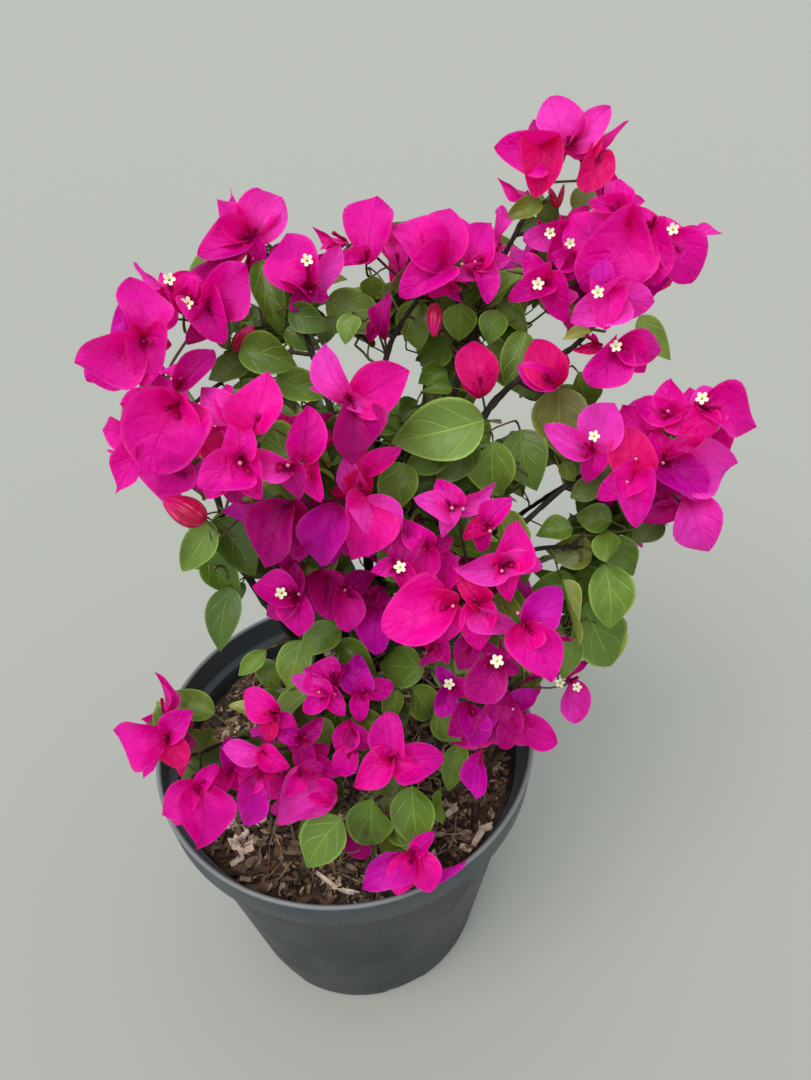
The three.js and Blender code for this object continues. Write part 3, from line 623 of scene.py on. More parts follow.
class Seen:
    """Circles in the photograph that blossom and leaves which show cover, with their depth."""

    def __init__(self):
        self.circles = []
        self.open = np.array(KEPT_OPEN, float)
        self.ovals = {}
        for name, clump in CLUMPS.items():
            x, y, depth = in_photo(clump.centre)[0]
            scale = FOCAL_PIXELS / depth
            tall = math.hypot(clump.half[1] * math.sin(LOOK_DOWN), clump.half[2] * math.cos(LOOK_DOWN))
            self.ovals[name] = (x, y, scale * clump.half[0], scale * tall)

    def add(self, foot, tip, radius):
        start, end = in_photo((foot, tip))
        for share, part in BLADE_CIRCLES:
            x, y, depth = start + (end - start) * share
            self.circles.append((x, y, part * radius * FOCAL_PIXELS / depth, depth))

    def in_gap(self, spots):
        return (apart(spots, self.open) < self.open[:, 2]).any(axis=1)

    def room(self, points, clump, slack):
        """No point covers what shows, and each is hidden by it or well in the clump's oval, off the gaps."""
        spots = in_photo(points)
        circles = np.array(self.circles)
        inside = apart(spots, circles) < circles[:, 2]
        behind = spots[:, None, 2] - circles[:, 3]
        if (inside & (behind < LEAST_BEHIND)).any():
            return False
        ovals = np.array([self.ovals[clump.name]] if clump else list(self.ovals.values()))
        x = (spots[:, None, 0] - ovals[:, 0]) / ovals[:, 2]
        y = (spots[:, None, 1] - ovals[:, 1]) / ovals[:, 3]
        in_oval = (x * x + y * y < slack).any(axis=1)
        return bool(((inside.any(axis=1) | in_oval) & ~self.in_gap(spots)).all())

    def over(self, x, y, depth):
        """The depths of what shows over a pixel and near a depth."""
        near = [c[3] for c in self.circles if math.hypot(c[0] - x, c[1] - y) < 0.75 * c[2]]
        return [d for d in near if abs(d - depth) < BACKING_REACH]

    def under(self, x, y, reach, depth):
        """The depth, or a little more where a leaf there would cut a bract that shows."""
        near = [c[3] for c in self.circles if math.hypot(c[0] - x, c[1] - y) < c[2] + reach]
        cut = [d for d in near if depth - LEAF_CUTS[0] < d < depth + LEAF_CUTS[1]]
        return max(cut) + LEAF_BEHIND if cut else depth

    def pushes(self, points):
        """How much farther from the camera each point of a twig has to go to pass behind what shows."""
        spots = in_photo(points)
        circles = np.array(self.circles)
        short = circles[:, 3] + TWIG_BEHIND - spots[:, None, 2]
        covers = (apart(spots, circles) < circles[:, 2]) & (short > 0) & (short < TWIG_PUSH_MOST)
        push = np.where(covers, short, 0).max(axis=1)
        push[0] = 0
        for _ in range(PUSH_ROUNDS):
            push[1:-1] = np.maximum(push[1:-1], 0.45 * (push[:-2] + push[2:]))
        return push

    def crosses_gap(self, start, end):
        """Whether a twig between the points would show in a gap."""
        spots = in_photo([start + (end - start) * share for share in (0.25, 0.5, 0.75, 1)])
        return bool(self.in_gap(spots).any())


def in_reach(points):
    """Inside the frame's box, and clear of the pot and the soil."""
    low, high = (np.array(corner) / MM for corner in CAD_BOX)
    in_box = (points > low - BOX_SLACK).all() and (points < high + BOX_SLACK).all()
    radius = np.hypot(points[:, 0], points[:, 1])
    past_wall = radius > POT_RIM_RADIUS - RIM_CLEAR
    in_wall = past_wall & (radius < POT_RIM_RADIUS + 4) & (points[:, 2] < POT_HEIGHT + 3)
    outside_low = past_wall & (points[:, 2] < POT_HEIGHT - 10)
    return in_box and not in_wall.any() and not outside_low.any() and (points[:, 2] > SOIL_TOP + 5).all()


# Joined meshes

Template = namedtuple("Template", "points corners sizes maps")


class Gathered:
    """Copies of templates that become one mesh."""

    def __init__(self):
        self.points, self.corners, self.sizes, self.maps, self.tints = [], [], [], [], []
        self.count = 0

    def add(self, template, points, tint=0):
        self.points.append(points)
        self.corners.append(template.corners + self.count)
        self.sizes.append(template.sizes)
        self.maps.append(template.maps)
        self.tints.append(np.full(len(template.sizes), tint))
        self.count += len(points)

    def piece(self, name, materials):
        points = np.concatenate(self.points) * MM
        corners = np.concatenate(self.corners)
        sizes = np.concatenate(self.sizes)
        mesh = bpy.data.meshes.new(name)
        mesh.vertices.add(len(points))
        mesh.vertices.foreach_set("co", points.astype(np.float32).ravel())
        mesh.loops.add(len(corners))
        mesh.loops.foreach_set("vertex_index", corners.astype(np.int32))
        mesh.polygons.add(len(sizes))
        mesh.polygons.foreach_set("loop_start", (np.cumsum(sizes) - sizes).astype(np.int32))
        mesh.polygons.foreach_set("material_index", np.concatenate(self.tints).astype(np.int32))
        mesh.polygons.foreach_set("use_smooth", np.ones(len(sizes), bool))
        mesh.uv_layers.new(name="UVMap").data.foreach_set("uv", np.concatenate(self.maps).ravel())
        mesh.update(calc_edges=True)
        mesh.validate()
        return shown(name, mesh, materials)


def linked(name, data):
    """A new object of the scene that holds some data."""
    made = bpy.data.objects.new(name, data)
    bpy.context.scene.collection.objects.link(made)
    return made


def shown(name, mesh, materials):
    for material in materials:
        mesh.materials.append(material)
    return linked(name, mesh)


def mesh_of(bm, name):
    """The mesh of a bmesh, smooth all over."""
    for face in bm.faces:
        face.smooth = True
    mesh = bpy.data.meshes.new(name)
    bm.to_mesh(mesh)
    bm.free()
    return mesh


def belongs(piece, slot, *nodes):
    """The piece moves with the one body, and stands for nodes of the frame."""
    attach(piece, "root")
    if nodes:
        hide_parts(*nodes)


def template_of(bm):
    bm.verts.index_update()
    layer = bm.loops.layers.uv.active
    corners = [loop.vert.index for face in bm.faces for loop in face.loops]
    maps = [tuple(loop[layer].uv) if layer else (0.5, 0.5) for face in bm.faces for loop in face.loops]
    made = Template(
        np.array([vert.co[:] for vert in bm.verts]),
        np.array(corners),
        np.array([len(face.verts) for face in bm.faces]),
        np.array(maps, dtype=np.float32),
    )
    bm.free()
    return made


def placed(template, foot, along, normal, length, width, thick=None):
    """The template's points with its Y along a direction and its Z along a normal."""
    side = np.cross(along, normal)
    local = template.points
    return (foot + np.outer(local[:, 0] * width, side) + np.outer(local[:, 1] * length, along)
            + np.outer(local[:, 2] * (thick or length), normal))


# Blades and flowers

def blade_template(shape, rng):
    """A bract or a leaf one unit long and one wide: cupped at its foot, arched, recurved and ruffled."""
    bm = bmesh.new()
    bm.loops.layers.uv.new("UVMap")
    bmesh.ops.create_grid(bm, x_segments=BLADE_CELLS[0], y_segments=BLADE_CELLS[1], size=0.5, calc_uvs=True)
    peak = shape.belly / (shape.belly + shape.taper)
    widest = peak ** shape.belly * (1 - peak) ** shape.taper
    phases = rng.uniform(0, 2 * math.pi, 4)
    for vert in bm.verts:
        u, s = 2 * vert.co.x, 0.5 - 0.5 * math.cos(math.pi * min(max(vert.co.y + 0.5, 0.0), 1.0))
        breadth = s ** shape.belly * (1 - s) ** shape.taper / widest
        phase = phases[0] if u < 0 else phases[1]
        wave = shape.ruffle * abs(u) ** 2 * math.sin(shape.waves * 2 * math.pi * s + phase)
        pucker = shape.pucker * math.sin(7 * u + phases[2]) * math.sin(12 * s + phases[3])
        closed = shape.fold * (1 - shape.opens * s)
        z = closed * abs(u) ** 1.25 * breadth + (wave + pucker) * min(1, 3 * breadth)
        z += shape.bow * math.sin(math.pi * s ** 0.8) - shape.curl * s ** 3
        x = 0.5 * u * breadth * (1 - 0.5 * closed)
        angle = shape.twist * (s - 0.3)
        vert.co.x = x * math.cos(angle) - z * math.sin(angle) + shape.sway * math.sin(math.pi * s)
        vert.co.y = s
        vert.co.z = x * math.sin(angle) + z * math.cos(angle)
    bmesh.ops.remove_doubles(bm, verts=bm.verts, dist=1e-4)
    return template_of(bm)


def blade_templates(ranges, count, seed):
    """Blades whose form is drawn from a range for each of its measures."""
    rng = np.random.default_rng(seed)
    return [blade_template(Blade(*(rng.uniform(*span) for span in ranges)), rng) for _ in range(count)]


def star_template():
    """An open flower's five-lobed face, one unit in radius."""
    bm = bmesh.new()
    bmesh.ops.create_circle(bm, cap_ends=True, cap_tris=True, segments=20, radius=1)
    bmesh.ops.subdivide_edges(bm, edges=[e for e in bm.edges if not e.is_boundary], cuts=1)
    for vert in bm.verts:
        x, y = vert.co.x, vert.co.y
        reach = math.hypot(x, y)
        lobe = 0.56 + 0.44 * abs(math.cos(2.5 * math.atan2(y, x))) ** 0.8
        scale = lobe if reach > 0.7 else 0.75
        vert.co = (x * scale, y * scale, 0.16 * reach - 0.22 * (1 - reach) ** 2)
    bmesh.ops.recalc_face_normals(bm, faces=bm.faces)
    return template_of(bm)


def knob_template():
    """A small rounded tip, one unit in radius."""
    bm = bmesh.new()
    bmesh.ops.create_icosphere(bm, subdivisions=1, radius=1)
    return template_of(bm)


def bud_template():
    """Young bracts still folded round each other, one unit long: winding ridges that run to a point."""
    bm = bmesh.new()
    bm.loops.layers.uv.new("UVMap")
    bmesh.ops.create_uvsphere(bm, u_segments=40, v_segments=14, radius=1, calc_uvs=True)
    for vert in bm.verts:
        s = (vert.co.z + 1) / 2
        turn = math.atan2(vert.co.y, vert.co.x)
        girth = (1 + 0.18 * abs(math.sin(2.5 * turn + 1.2 * s)) ** 0.6) * (1 - 0.45 * s ** 1.5) * 0.5
        flat = math.hypot(vert.co.x, vert.co.y)
        vert.co = (flat * girth * math.cos(turn), s, flat * girth * math.sin(turn))
    bmesh.ops.recalc_face_normals(bm, faces=bm.faces)
    return template_of(bm)


# Limbs and twigs

def through(way):
    """A centripetal spline through the points, sampled densely."""
    way = [np.array(p, float) for p in way]
    way = [2 * way[0] - way[1]] + way + [2 * way[-1] - way[-2]]
    samples = []
    for a, b, c, d in zip(way, way[1:], way[2:], way[3:]):
        t0, t1, t2 = (max(np.linalg.norm(q - p), 1e-4) ** 0.5 for p, q in ((a, b), (b, c), (c, d)))
        leave = ((b - a) / t0 - (c - a) / (t0 + t1) + (c - b) / t1) * t1
        arrive = ((c - b) / t1 - (d - b) / (t1 + t2) + (d - c) / t2) * t1
        for t in np.linspace(0, 1, 40, endpoint=False):
            samples.append(hermite(b, c, leave, arrive, t))
    samples.append(way[-2])
    return np.array(samples)


def hermite(start, end, leave, arrive, t):
    return ((2 * t ** 3 - 3 * t ** 2 + 1) * start + (t ** 3 - 2 * t ** 2 + t) * leave
            + (3 * t ** 2 - 2 * t ** 3) * end + (t ** 3 - t ** 2) * arrive)


def evenly(samples, step):
    """Points along a line at an even step."""
    steps = np.linalg.norm(np.diff(samples, axis=0), axis=1)
    reached = np.concatenate(((0,), np.cumsum(steps)))
    count = max(3, round(reached[-1] / step) + 1)
    places = np.linspace(0, reached[-1], count)
    return np.stack([np.interp(places, reached, samples[:, k]) for k in range(3)], axis=1)


def limb_lines():
    """The stem and each bough as a smooth line with its radii."""
    stem = evenly(through(STEM_LINE), STEM_STEP)
    share = np.linspace(0, 1, len(stem))
    length = np.linalg.norm(np.diff(stem, axis=0), axis=1).sum()
    radii = STEM_RADII[0] + (STEM_RADII[1] - STEM_RADII[0]) * share
    lines = {"stem": (stem, radii + STEM_FLARE * np.exp(-share * length / STEM_FLARE_LENGTH))}
    for bough in BOUGHS:
        parent = lines[bough.parent][0]
        start = parent[round(bough.leaves * (len(parent) - 1))]
        line = evenly(through([start] + bough.way), LIMB_STEP)
        lines[bough.name] = (line, np.linspace(bough.radii[0], BOUGH_TIP_SHARE * bough.radii[1], len(line)))
    return lines


class Wood:
    """Points of limbs and twigs, each with the point that it grew from."""

    SPACE = 60000

    def __init__(self, pushes):
        self.pushes = pushes
        self.points = np.zeros((self.SPACE, 3))
        self.parent = np.full(self.SPACE, -1)
        self.bears = np.zeros(self.SPACE, bool)
        self.reach = np.zeros(self.SPACE)
        self.load = np.zeros(self.SPACE)
        self.count = 0
        self.runs = []

    def add(self, point, parent, bears=True):
        self.points[self.count] = point
        self.parent[self.count] = parent
        self.bears[self.count] = bears
        if parent >= 0:
            self.reach[self.count] = self.reach[parent] + np.linalg.norm(point - self.points[parent])
        self.count += 1
        return self.count - 1

    def nearest(self, target):
        """The point that a twig to the target leaves from: close, not above it, and on older wood."""
        points = self.points[: self.count]
        away = np.linalg.norm(points - target, axis=1)
        away[~self.bears[: self.count]] = np.inf
        cost = away + 0.5 * np.maximum(0, points[:, 2] - target[2]) + OLDER_WOOD * self.reach[: self.count]
        cost[away > 1.6 * away.min() + 8] = np.inf
        return int(np.argmin(cost))

    def heading(self, i):
        """The way in which the wood grows at a point."""
        return unit(self.points[i] - self.points[self.parent[i]]) if self.parent[i] >= 0 else UP

    def grow(self, target, arrive, rng):
        """A twig from the nearest wood to the target, where it arrives along a direction."""
        start = self.nearest(target)
        foot = self.points[start]
        gap = np.linalg.norm(target - foot)
        if gap < 2:
            return [start]
        straight = unit(target - foot)
        leave = unit(0.5 * self.heading(start) + straight) * 0.7 * gap
        arrive = unit(0.5 * arrive + straight) * 0.6 * gap
        steps = max(2, round(gap / TWIG_STEP))
        shares = np.arange(1, steps + 1) / steps
        drift = across(rng.normal(size=3), straight) * TWIG_WOBBLE * min(1.0, gap / 40)
        line = np.array([hermite(foot, target, leave, arrive, t) + drift * math.sin(2 * math.pi * t)
                         for t in shares])
        line[:-1] += rng.normal(size=(steps - 1, 3)) * 0.12 * TWIG_WOBBLE
        for point, push in zip(line, self.pushes(line)):
            point += unit(point - CAMERA_PLACE) * push
        run = [start]
        for point in line:
            run.append(self.add(point, run[-1]))
        self.runs.append(run)
        return run

    def cut_back(self):
        """The twigs with their radii: thicker by what they carry, and ending where they carry nothing.

        The young ones, which carry little, come first and the woody ones after them.
        """
        load = self.load[: self.count].copy()
        for i in range(self.count - 1, 0, -1):
            if self.parent[i] >= 0:
                load[self.parent[i]] += load[i]
        radii = np.clip(0.5 * np.maximum(load, 1) ** 0.34, 0.5, 1.5)
        young, woody = [], []
        for run in self.runs:
            held = [i for i in run[1:] if load[i] > 0]
            if held:
                kind = young if load[held[0]] < 5 else woody
                kind.append((self.points[[run[0]] + held], radii[[held[0]] + held]))
        return young, woody


def tubes(name, lines, roundness, materials):
    """Round tubes along lines, as one mesh. A line is its points and its radii in millimetres."""
    curve = bpy.data.curves.new(name, "CURVE")
    curve.dimensions = "3D"
    curve.bevel_depth = MM
    curve.bevel_resolution = roundness
    curve.use_fill_caps = True
    for points, radii in lines:
        spline = curve.splines.new("POLY")
        spline.points.add(len(points) - 1)
        places = np.column_stack((np.array(points) * MM, np.ones(len(points))))
        spline.points.foreach_set("co", places.astype(np.float32).ravel())
        spline.points.foreach_set("radius", np.array(radii, np.float32))
    carrier = linked(name + "_line", curve)
    mesh = bpy.data.meshes.new_from_object(carrier.evaluated_get(bpy.context.evaluated_depsgraph_get()))
    mesh.name = name
    bpy.data.objects.remove(carrier)
    bpy.data.curves.remove(curve)
    mesh.materials.clear()
    mesh.polygons.foreach_set("use_smooth", np.ones(len(mesh.polygons), bool))
    return shown(name, mesh, materials)


def roughened(mesh, depth, grain):
    """Bark relief: furrows along the limb and small knots."""
    for vert in mesh.vertices:
        place = vert.co / MM
        furrow = noise.noise(Vector((place.x / grain, place.y / grain, place.z / (4 * grain))))
        knot = max(0.0, noise.noise(place / (2.6 * grain)) - 0.25)
        vert.co += vert.normal * (depth * furrow + 3 * depth * knot) * MM


def with_nodes(radii, step, rng):
    """Radii with the slight swellings where leaves once stood."""
    radii = np.array(radii, float)
    reached = np.arange(len(radii)) * step
    place = rng.uniform(*FIRST_NODE)
    while place < reached[-1]:
        radii = radii * (1 + NODE_SWELL * np.exp(-((reached - place) / NODE_WIDTH) ** 2))
        place += rng.uniform(*NODE_GAP)
    return radii


# Blossom

class Bush:
    """Everything that is grown, gathered by kind."""

    def __init__(self):
        self.rng = np.random.default_rng(FILL_SEED)
        self.seen = Seen()
        self.wood = Wood(self.seen.pushes)
        self.bracts, self.leaves, self.stars, self.tips, self.buds = (Gathered() for _ in range(5))
        self.tube_lines, self.stalk_lines = [], []
        self.flowers_seen, self.pending, self.leaf_pending = [], [], []
        self.bract_shapes = blade_templates(BRACT_FORMS, BRACT_SHAPES, BRACT_SEED)
        self.leaf_shapes = blade_templates(LEAF_FORMS, LEAF_SHAPES, LEAF_SEED)
        self.star_shape = star_template()
        self.knob_shape = knob_template()
        self.bud_shape = bud_template()

    def shape_from(self, shapes):
        return shapes[self.rng.integers(len(shapes))]

    def stalk(self, start, tip, arrive, radii):
        """A short green stalk from a point of the wood to a bloom or a leaf."""
        self.wood.load[start] += 1
        foot = self.wood.points[start]
        gap = np.linalg.norm(tip - foot)
        steps = max(3, round(gap / STALK_STEP))
        straight = unit(tip - foot)
        leave = unit(straight + 0.7 * self.wood.heading(start)) * 0.8 * gap
        arrive = unit(0.6 * arrive + straight) * 0.8 * gap
        line = np.array([hermite(foot, tip, leave, arrive, t) for t in np.linspace(0, 1, steps + 1)])
        for point, push in list(zip(line, self.seen.pushes(line)))[1:-1]:
            point += unit(point - CAMERA_PLACE) * push
        self.stalk_lines.append((line, np.linspace(*radii, steps + 1)))

    def tube(self, heart, mouth, along, fat=1.0):
        """A flower's tube: slim above its foot, a little swollen below its mouth."""
        gap = np.linalg.norm(mouth - heart)
        shares = np.linspace(0, 1, len(TUBE_RADII))
        line = [hermite(heart, mouth, along * gap, unit(mouth - heart) * gap, t) for t in shares]
        self.tube_lines.append((line, np.array(TUBE_RADII) * fat))

    def star(self, mouth, facing):
        side = across(self.rng.normal(size=3), facing)
        radius = self.rng.uniform(*STAR_RADIUS)
        self.stars.add(self.star_shape, placed(self.star_shape, mouth, side, facing, radius, radius))
        self.tips.add(self.knob_shape, mouth + self.knob_shape.points * 0.7 + facing * 0.2, FLOWER_EYE)

    def tip_knob(self, mouth, size=1.15, tint=CLOSED_TIP):
        self.tips.add(self.knob_shape, mouth + self.knob_shape.points * size, tint)


def before_limbs(bush, x, y, depth, reach):
    """The depth, or a little less than that of a limb which passes the pixel and would hide it."""
    passing = bush.limbs_seen[np.hypot(bush.limbs_seen[:, 0] - x, bush.limbs_seen[:, 1] - y) < reach, 2]
    passing = passing[(passing < depth + LIMB_CLEAR) & (passing > depth - LIMB_REACH)]
    return min(depth, passing.min() - LIMB_CLEAR) if len(passing) else depth


def laid_bract(bush, heart, tip, normal, width, shapes):
    """A bract's template and its points, from a little behind the heart to its tip."""
    along = unit(tip - heart)
    length = np.linalg.norm(tip - heart) + BRACT_HOLLOW
    shape = bush.shape_from(shapes)
    return shape, placed(shape, heart - along * BRACT_HOLLOW, along, normal, length, width)


def pinned(shape, points, tip, viewer):
    """The points of a blade with its tip moved, square to the view, to where it shows."""
    slip = tip - points[np.argmax(shape.points[:, 1])]
    slip = slip - viewer * (slip @ viewer)
    return points + np.outer(shape.points[:, 1] ** 2, slip)


def seen_bloom(bush, clump, heart_pixel, bracts, flowers):
    """A bloom that the photograph shows, from its pixels and its clump's depth."""
    rng = bush.rng
    depth = clump.depth_at(*heart_pixel, sunk=HEART_SUNK) + rng.uniform(-2, 2)
    depth = before_limbs(bush, *heart_pixel, depth, HEART_REACH)
    over = [] if flowers else bush.seen.over(*heart_pixel, depth)
    if over:
        depth = max(over) + BACKING_GAP
    heart = seen_at(*heart_pixel, depth)
    viewer = to_viewer(heart)
    ways = []
    for bract in bracts:
        level = np.linalg.norm(ray(bract.x, bract.y) * depth - ray(*heart_pixel) * depth)
        nearer = level * math.tan(math.radians(bract.tilt))
        ways.append(seen_at(bract.x, bract.y, depth - nearer) - heart)
    axis = unit(0.6 * np.mean([unit(way) for way in ways], axis=0) + viewer)
    for way, bract in zip(ways, bracts):
        along = unit(way)
        length = min(np.linalg.norm(way), LONGEST_BRACT)
        roll = rng.uniform(-0.28, 0.28)
        width = BRACT_BREADTH * length * bract.share ** 0.7
        shapes = bush.bract_shapes
        if bract.share < SLIM_SHARE:
            width = SLIM_BREADTH * length
            roll = math.copysign(math.acos(min(1, bract.share / SLIM_SHARE)), rng.uniform(-1, 1))
            shapes = bush.leaf_shapes
        normal = turned(across(axis, along), along, roll)
        tip = heart + along * length
        shape, points = laid_bract(bush, heart, tip, normal, width, shapes)
        bush.bracts.add(shape, pinned(shape, points, tip, viewer), bract.tint)
        bush.seen.add(heart, tip, 0.36 * length * min(bract.share, 1.1))
        if not over and rng.random() < FLOWERS_SHOWN:
            mouth = heart + unit(axis + 0.35 * along + 0.1 * rng.normal(size=3)) * rng.uniform(8, 13)
            bush.tube(heart, mouth, unit(axis + 0.2 * along), 0.95)
            bush.tip_knob(mouth)
    for x, y in flowers:
        bush.flowers_seen.append((heart, viewer, x, y, depth - rng.uniform(13, 16)))
    foot = heart - unit(0.7 * axis + 0.5 * UP * (axis[2] > -0.3)) * PEDUNCLE
    bush.pending.append((foot, heart, axis))


def seen_flowers(bush):
    """The open flowers that the photograph shows, each in front of the bracts at its pixel."""
    spots = in_photo(np.concatenate(bush.bracts.points))
    for heart, viewer, x, y, depth in bush.flowers_seen:
        near = spots[np.hypot(spots[:, 0] - x, spots[:, 1] - y) < 8, 2]
        near = near[near > depth - 14]
        if len(near):
            depth = min(depth, near.min() - 2)
        mouth = seen_at(x, y, depth)
        bush.tube(heart, mouth, viewer)
        bush.star(mouth + viewer * 0.4, unit(viewer + 0.2 * unit(mouth - heart)))


def fill_bloom(bush, clump, heart, axis, tint):
    """A bloom that the photograph doesn't show: three bracts round an axis, where there is room for two."""
    rng = bush.rng
    if min(np.linalg.norm(heart - other) for _, other, _ in bush.pending) < HEART_GAP:
        return
    start = across(rng.normal(size=3), axis)
    length = rng.uniform(*BRACT_LENGTH)
    made = []
    for third in range(3):
        around = turned(start, axis, third * 2 * math.pi / 3 + rng.uniform(-0.3, 0.3))
        spread = math.radians(rng.uniform(*BRACT_SPREAD))
        along = unit(around * math.sin(spread) + axis * math.cos(spread))
        own = length * rng.uniform(0.88, 1.1)
        width = own * rng.uniform(0.76, 0.98)
        normal = turned(across(axis, along), along, rng.uniform(-0.3, 0.3))
        laid = laid_bract(bush, heart, heart + along * own, normal, width, bush.bract_shapes)
        if in_reach(laid[1]) and bush.seen.room(laid[1][::3], clump, 0.5 if clump else 0):
            made.append((laid, along))
    if len(made) < 2:
        return
    for laid, along in made:
        shade = tint if rng.random() < 0.7 else rng.integers(len(BRACT_TINTS))
        bush.bracts.add(*laid, shade)
        mouth = heart + unit(axis + 0.4 * along) * rng.uniform(10, 14)
        bush.tube(heart, mouth, axis)
        if rng.random() < OPEN_FLOWERS:
            bush.star(mouth + axis * 0.4, unit(axis + 0.3 * along))
        else:
            bush.tip_knob(mouth)
    bush.pending.append((heart - axis * PEDUNCLE, heart, axis))


def sphere_ways(count, rng):
    """Directions spread evenly over a ball."""
    spin = rng.uniform(0, 2 * math.pi)
    for i in range(count):
        z = 1 - (2 * i + 1) / count
        turn = spin + i * GOLDEN_ANGLE
        flat = math.sqrt(1 - z * z)
        yield unit(np.array((flat * math.cos(turn), flat * math.sin(turn), z)) + rng.normal(size=3) * 0.12)


def fill_clump(bush, clump):
    """Blooms over the clump wherever the photograph doesn't look."""
    rng = bush.rng
    middle = np.array((40.0, 0.0, clump.centre[2] - 60))
    area = 4 * math.pi * np.prod(clump.half) ** (2 / 3)
    for way in sphere_ways(round(area / BLOOM_SPACING ** 2), rng):
        heart = clump.centre + clump.half * way * rng.choice(FILL_DEPTHS, p=FILL_DEPTH_SHARES)
        surface = unit(way / clump.half)
        axis = unit(surface + 0.3 * unit(heart - middle) + 0.12 * UP + 0.2 * rng.normal(size=3))
        fill_bloom(bush, clump, heart, axis, drawn_tint(rng))


def drawn_tint(rng):
    return rng.choice(len(BRACT_TINTS), p=BRACT_TINT_SHARES)


def fill_between(bush):
    """Blooms that join neighbouring clumps at the sides and the back, where the photograph doesn't look."""
    rng = bush.rng
    clumps = list(CLUMPS.values())
    for i, first in enumerate(clumps):
        for second in clumps[i + 1:]:
            if np.linalg.norm(first.centre - second.centre) > BETWEEN_CLUMPS:
                continue
            for share in np.linspace(0.2, 0.8, BLOOMS_BETWEEN):
                middle = first.centre + (second.centre - first.centre) * share
                core = np.array((16 + 0.18 * (middle[2] - 300), 0.1 * (middle[2] - 300), middle[2] - 25))
                outward = unit(middle - core + 6 * rng.normal(size=3))
                heart = middle + outward * rng.uniform(4, 20)
                if outward @ to_viewer(heart) < 0.25:
                    fill_bloom(bush, None, heart, unit(outward + 0.15 * UP), drawn_tint(rng))


def blossom(bush):
    for name, blooms in BLOOMS_SEEN.items():
        for heart, rows, *flowers in blooms:
            bracts = [Bract(*row) for row in rows]
            seen_bloom(bush, CLUMPS[name], heart, bracts, flowers[0] if flowers else [])
    seen_flowers(bush)
    for x, y in SMALL_TIPS_SEEN:
        heart_depth = min(bush.seen.circles, key=lambda c: math.hypot(c[0] - x, c[1] - y))[3]
        mouth = seen_at(x, y, heart_depth - 9)
        bush.tube(mouth - to_viewer(mouth) * 9, mouth, to_viewer(mouth), 1.05)
        bush.tip_knob(mouth, 0.95, PALE_TIP)


def seen_bud(bush, name, foot_pixel, tip_pixel, thickness):
    depth = CLUMPS[name].depth_at(*foot_pixel, sunk=0) - 6
    foot = seen_at(*foot_pixel, depth)
    tip = seen_at(*tip_pixel, depth)
    along = unit(tip - foot)
    width = thickness * depth / FOCAL_PIXELS
    normal = across(to_viewer(foot), along)
    points = placed(bush.bud_shape, foot, along, normal, np.linalg.norm(tip - foot), width, width)
    bush.buds.add(bush.bud_shape, points)
    bush.seen.add(foot, tip, 0.5 * width)
    bush.pending.append((foot - along * 6 - UP * 6, foot, along))


# Leaves

def seen_leaf(bush, clump, x0, y0, x1, y1, wide, tint=GREEN):
    """A leaf that the photograph shows. One that looks short droops, and a slim one is turned."""
    rng = bush.rng
    middle = ((x0 + x1) / 2, (y0 + y1) / 2)
    depth = before_limbs(bush, *middle, clump.depth_at(*middle, sunk=LEAF_SUNK), LEAF_REACH)
    depth = bush.seen.under(*middle, 0.3 * wide, depth)
    foot = seen_at(x0, y0, depth)
    level = np.linalg.norm(ray(x1, y1) * depth - ray(x0, y0) * depth)
    width = wide * depth / FOCAL_PIXELS
    length = max(level, width / 0.8)
    droop = math.sqrt(max(0.0, length ** 2 - level ** 2))
    tip = seen_at(x1, y1, depth + droop)
    along = unit(tip - foot)
    viewer = to_viewer(foot)
    normal = across(viewer + 0.25 * UP, along)
    roll = rng.uniform(-0.2, 0.2)
    if width < 0.36 * level:
        roll = math.copysign(math.acos(width / (SLIM_BREADTH * level)), rng.uniform(-1, 1))
        width = SLIM_BREADTH * level
    shape = bush.shape_from(bush.leaf_shapes)
    length = np.linalg.norm(tip - foot)
    points = placed(shape, foot, along, turned(normal, along, roll), length, width * 1.08)
    bush.leaves.add(shape, pinned(shape, points, tip, viewer), tint)
    bush.seen.add(foot, tip, 0.5 * width)
    bush.leaf_pending.append((foot - along * 9 - UP * 4 - viewer * 3, foot, along))


def fill_leaf(bush, start, outward, heading):
    """A leaf on a twig: outward, a little forward, its face to the sky. Says whether it found room."""
    rng = bush.rng
    along = unit(0.9 * outward + 0.45 * heading + rng.normal(size=3) * 0.15)
    normal = turned(across(UP + 0.35 * outward, along), along, rng.uniform(-0.5, 0.5))
    length = rng.uniform(*LEAF_LENGTH)
    width = length * rng.uniform(*LEAF_BREADTH)
    foot = bush.wood.points[start] + along * rng.uniform(6, 11)
    shape = bush.shape_from(bush.leaf_shapes)
    points = placed(shape, foot, along, normal, length, width)
    if not in_reach(points) or not bush.seen.room(points[::3], None, 0.8):
        return False
    bush.leaves.add(shape, points, rng.choice(len(LEAF_TINTS), p=LEAF_TINT_SHARES))
    bush.stalk(start, foot, along, (0.65, 0.5))
    return True


def leaves_on(bush, run):
    """Leaves by turns along a twig."""
    turn = bush.rng.uniform(0, 2 * math.pi)
    travelled = bush.rng.uniform(0, LEAF_GAP)
    for before, here in zip(run, run[1:]):
        a, b = bush.wood.points[before], bush.wood.points[here]
        travelled += np.linalg.norm(b - a)
        if travelled < LEAF_GAP:
            continue
        travelled -= LEAF_GAP
        turn += GOLDEN_ANGLE
        heading = unit(b - a)
        for extra in (0, 1.2, -1.2):
            if fill_leaf(bush, here, turned(across(UP, heading), heading, turn + extra), heading):
                break


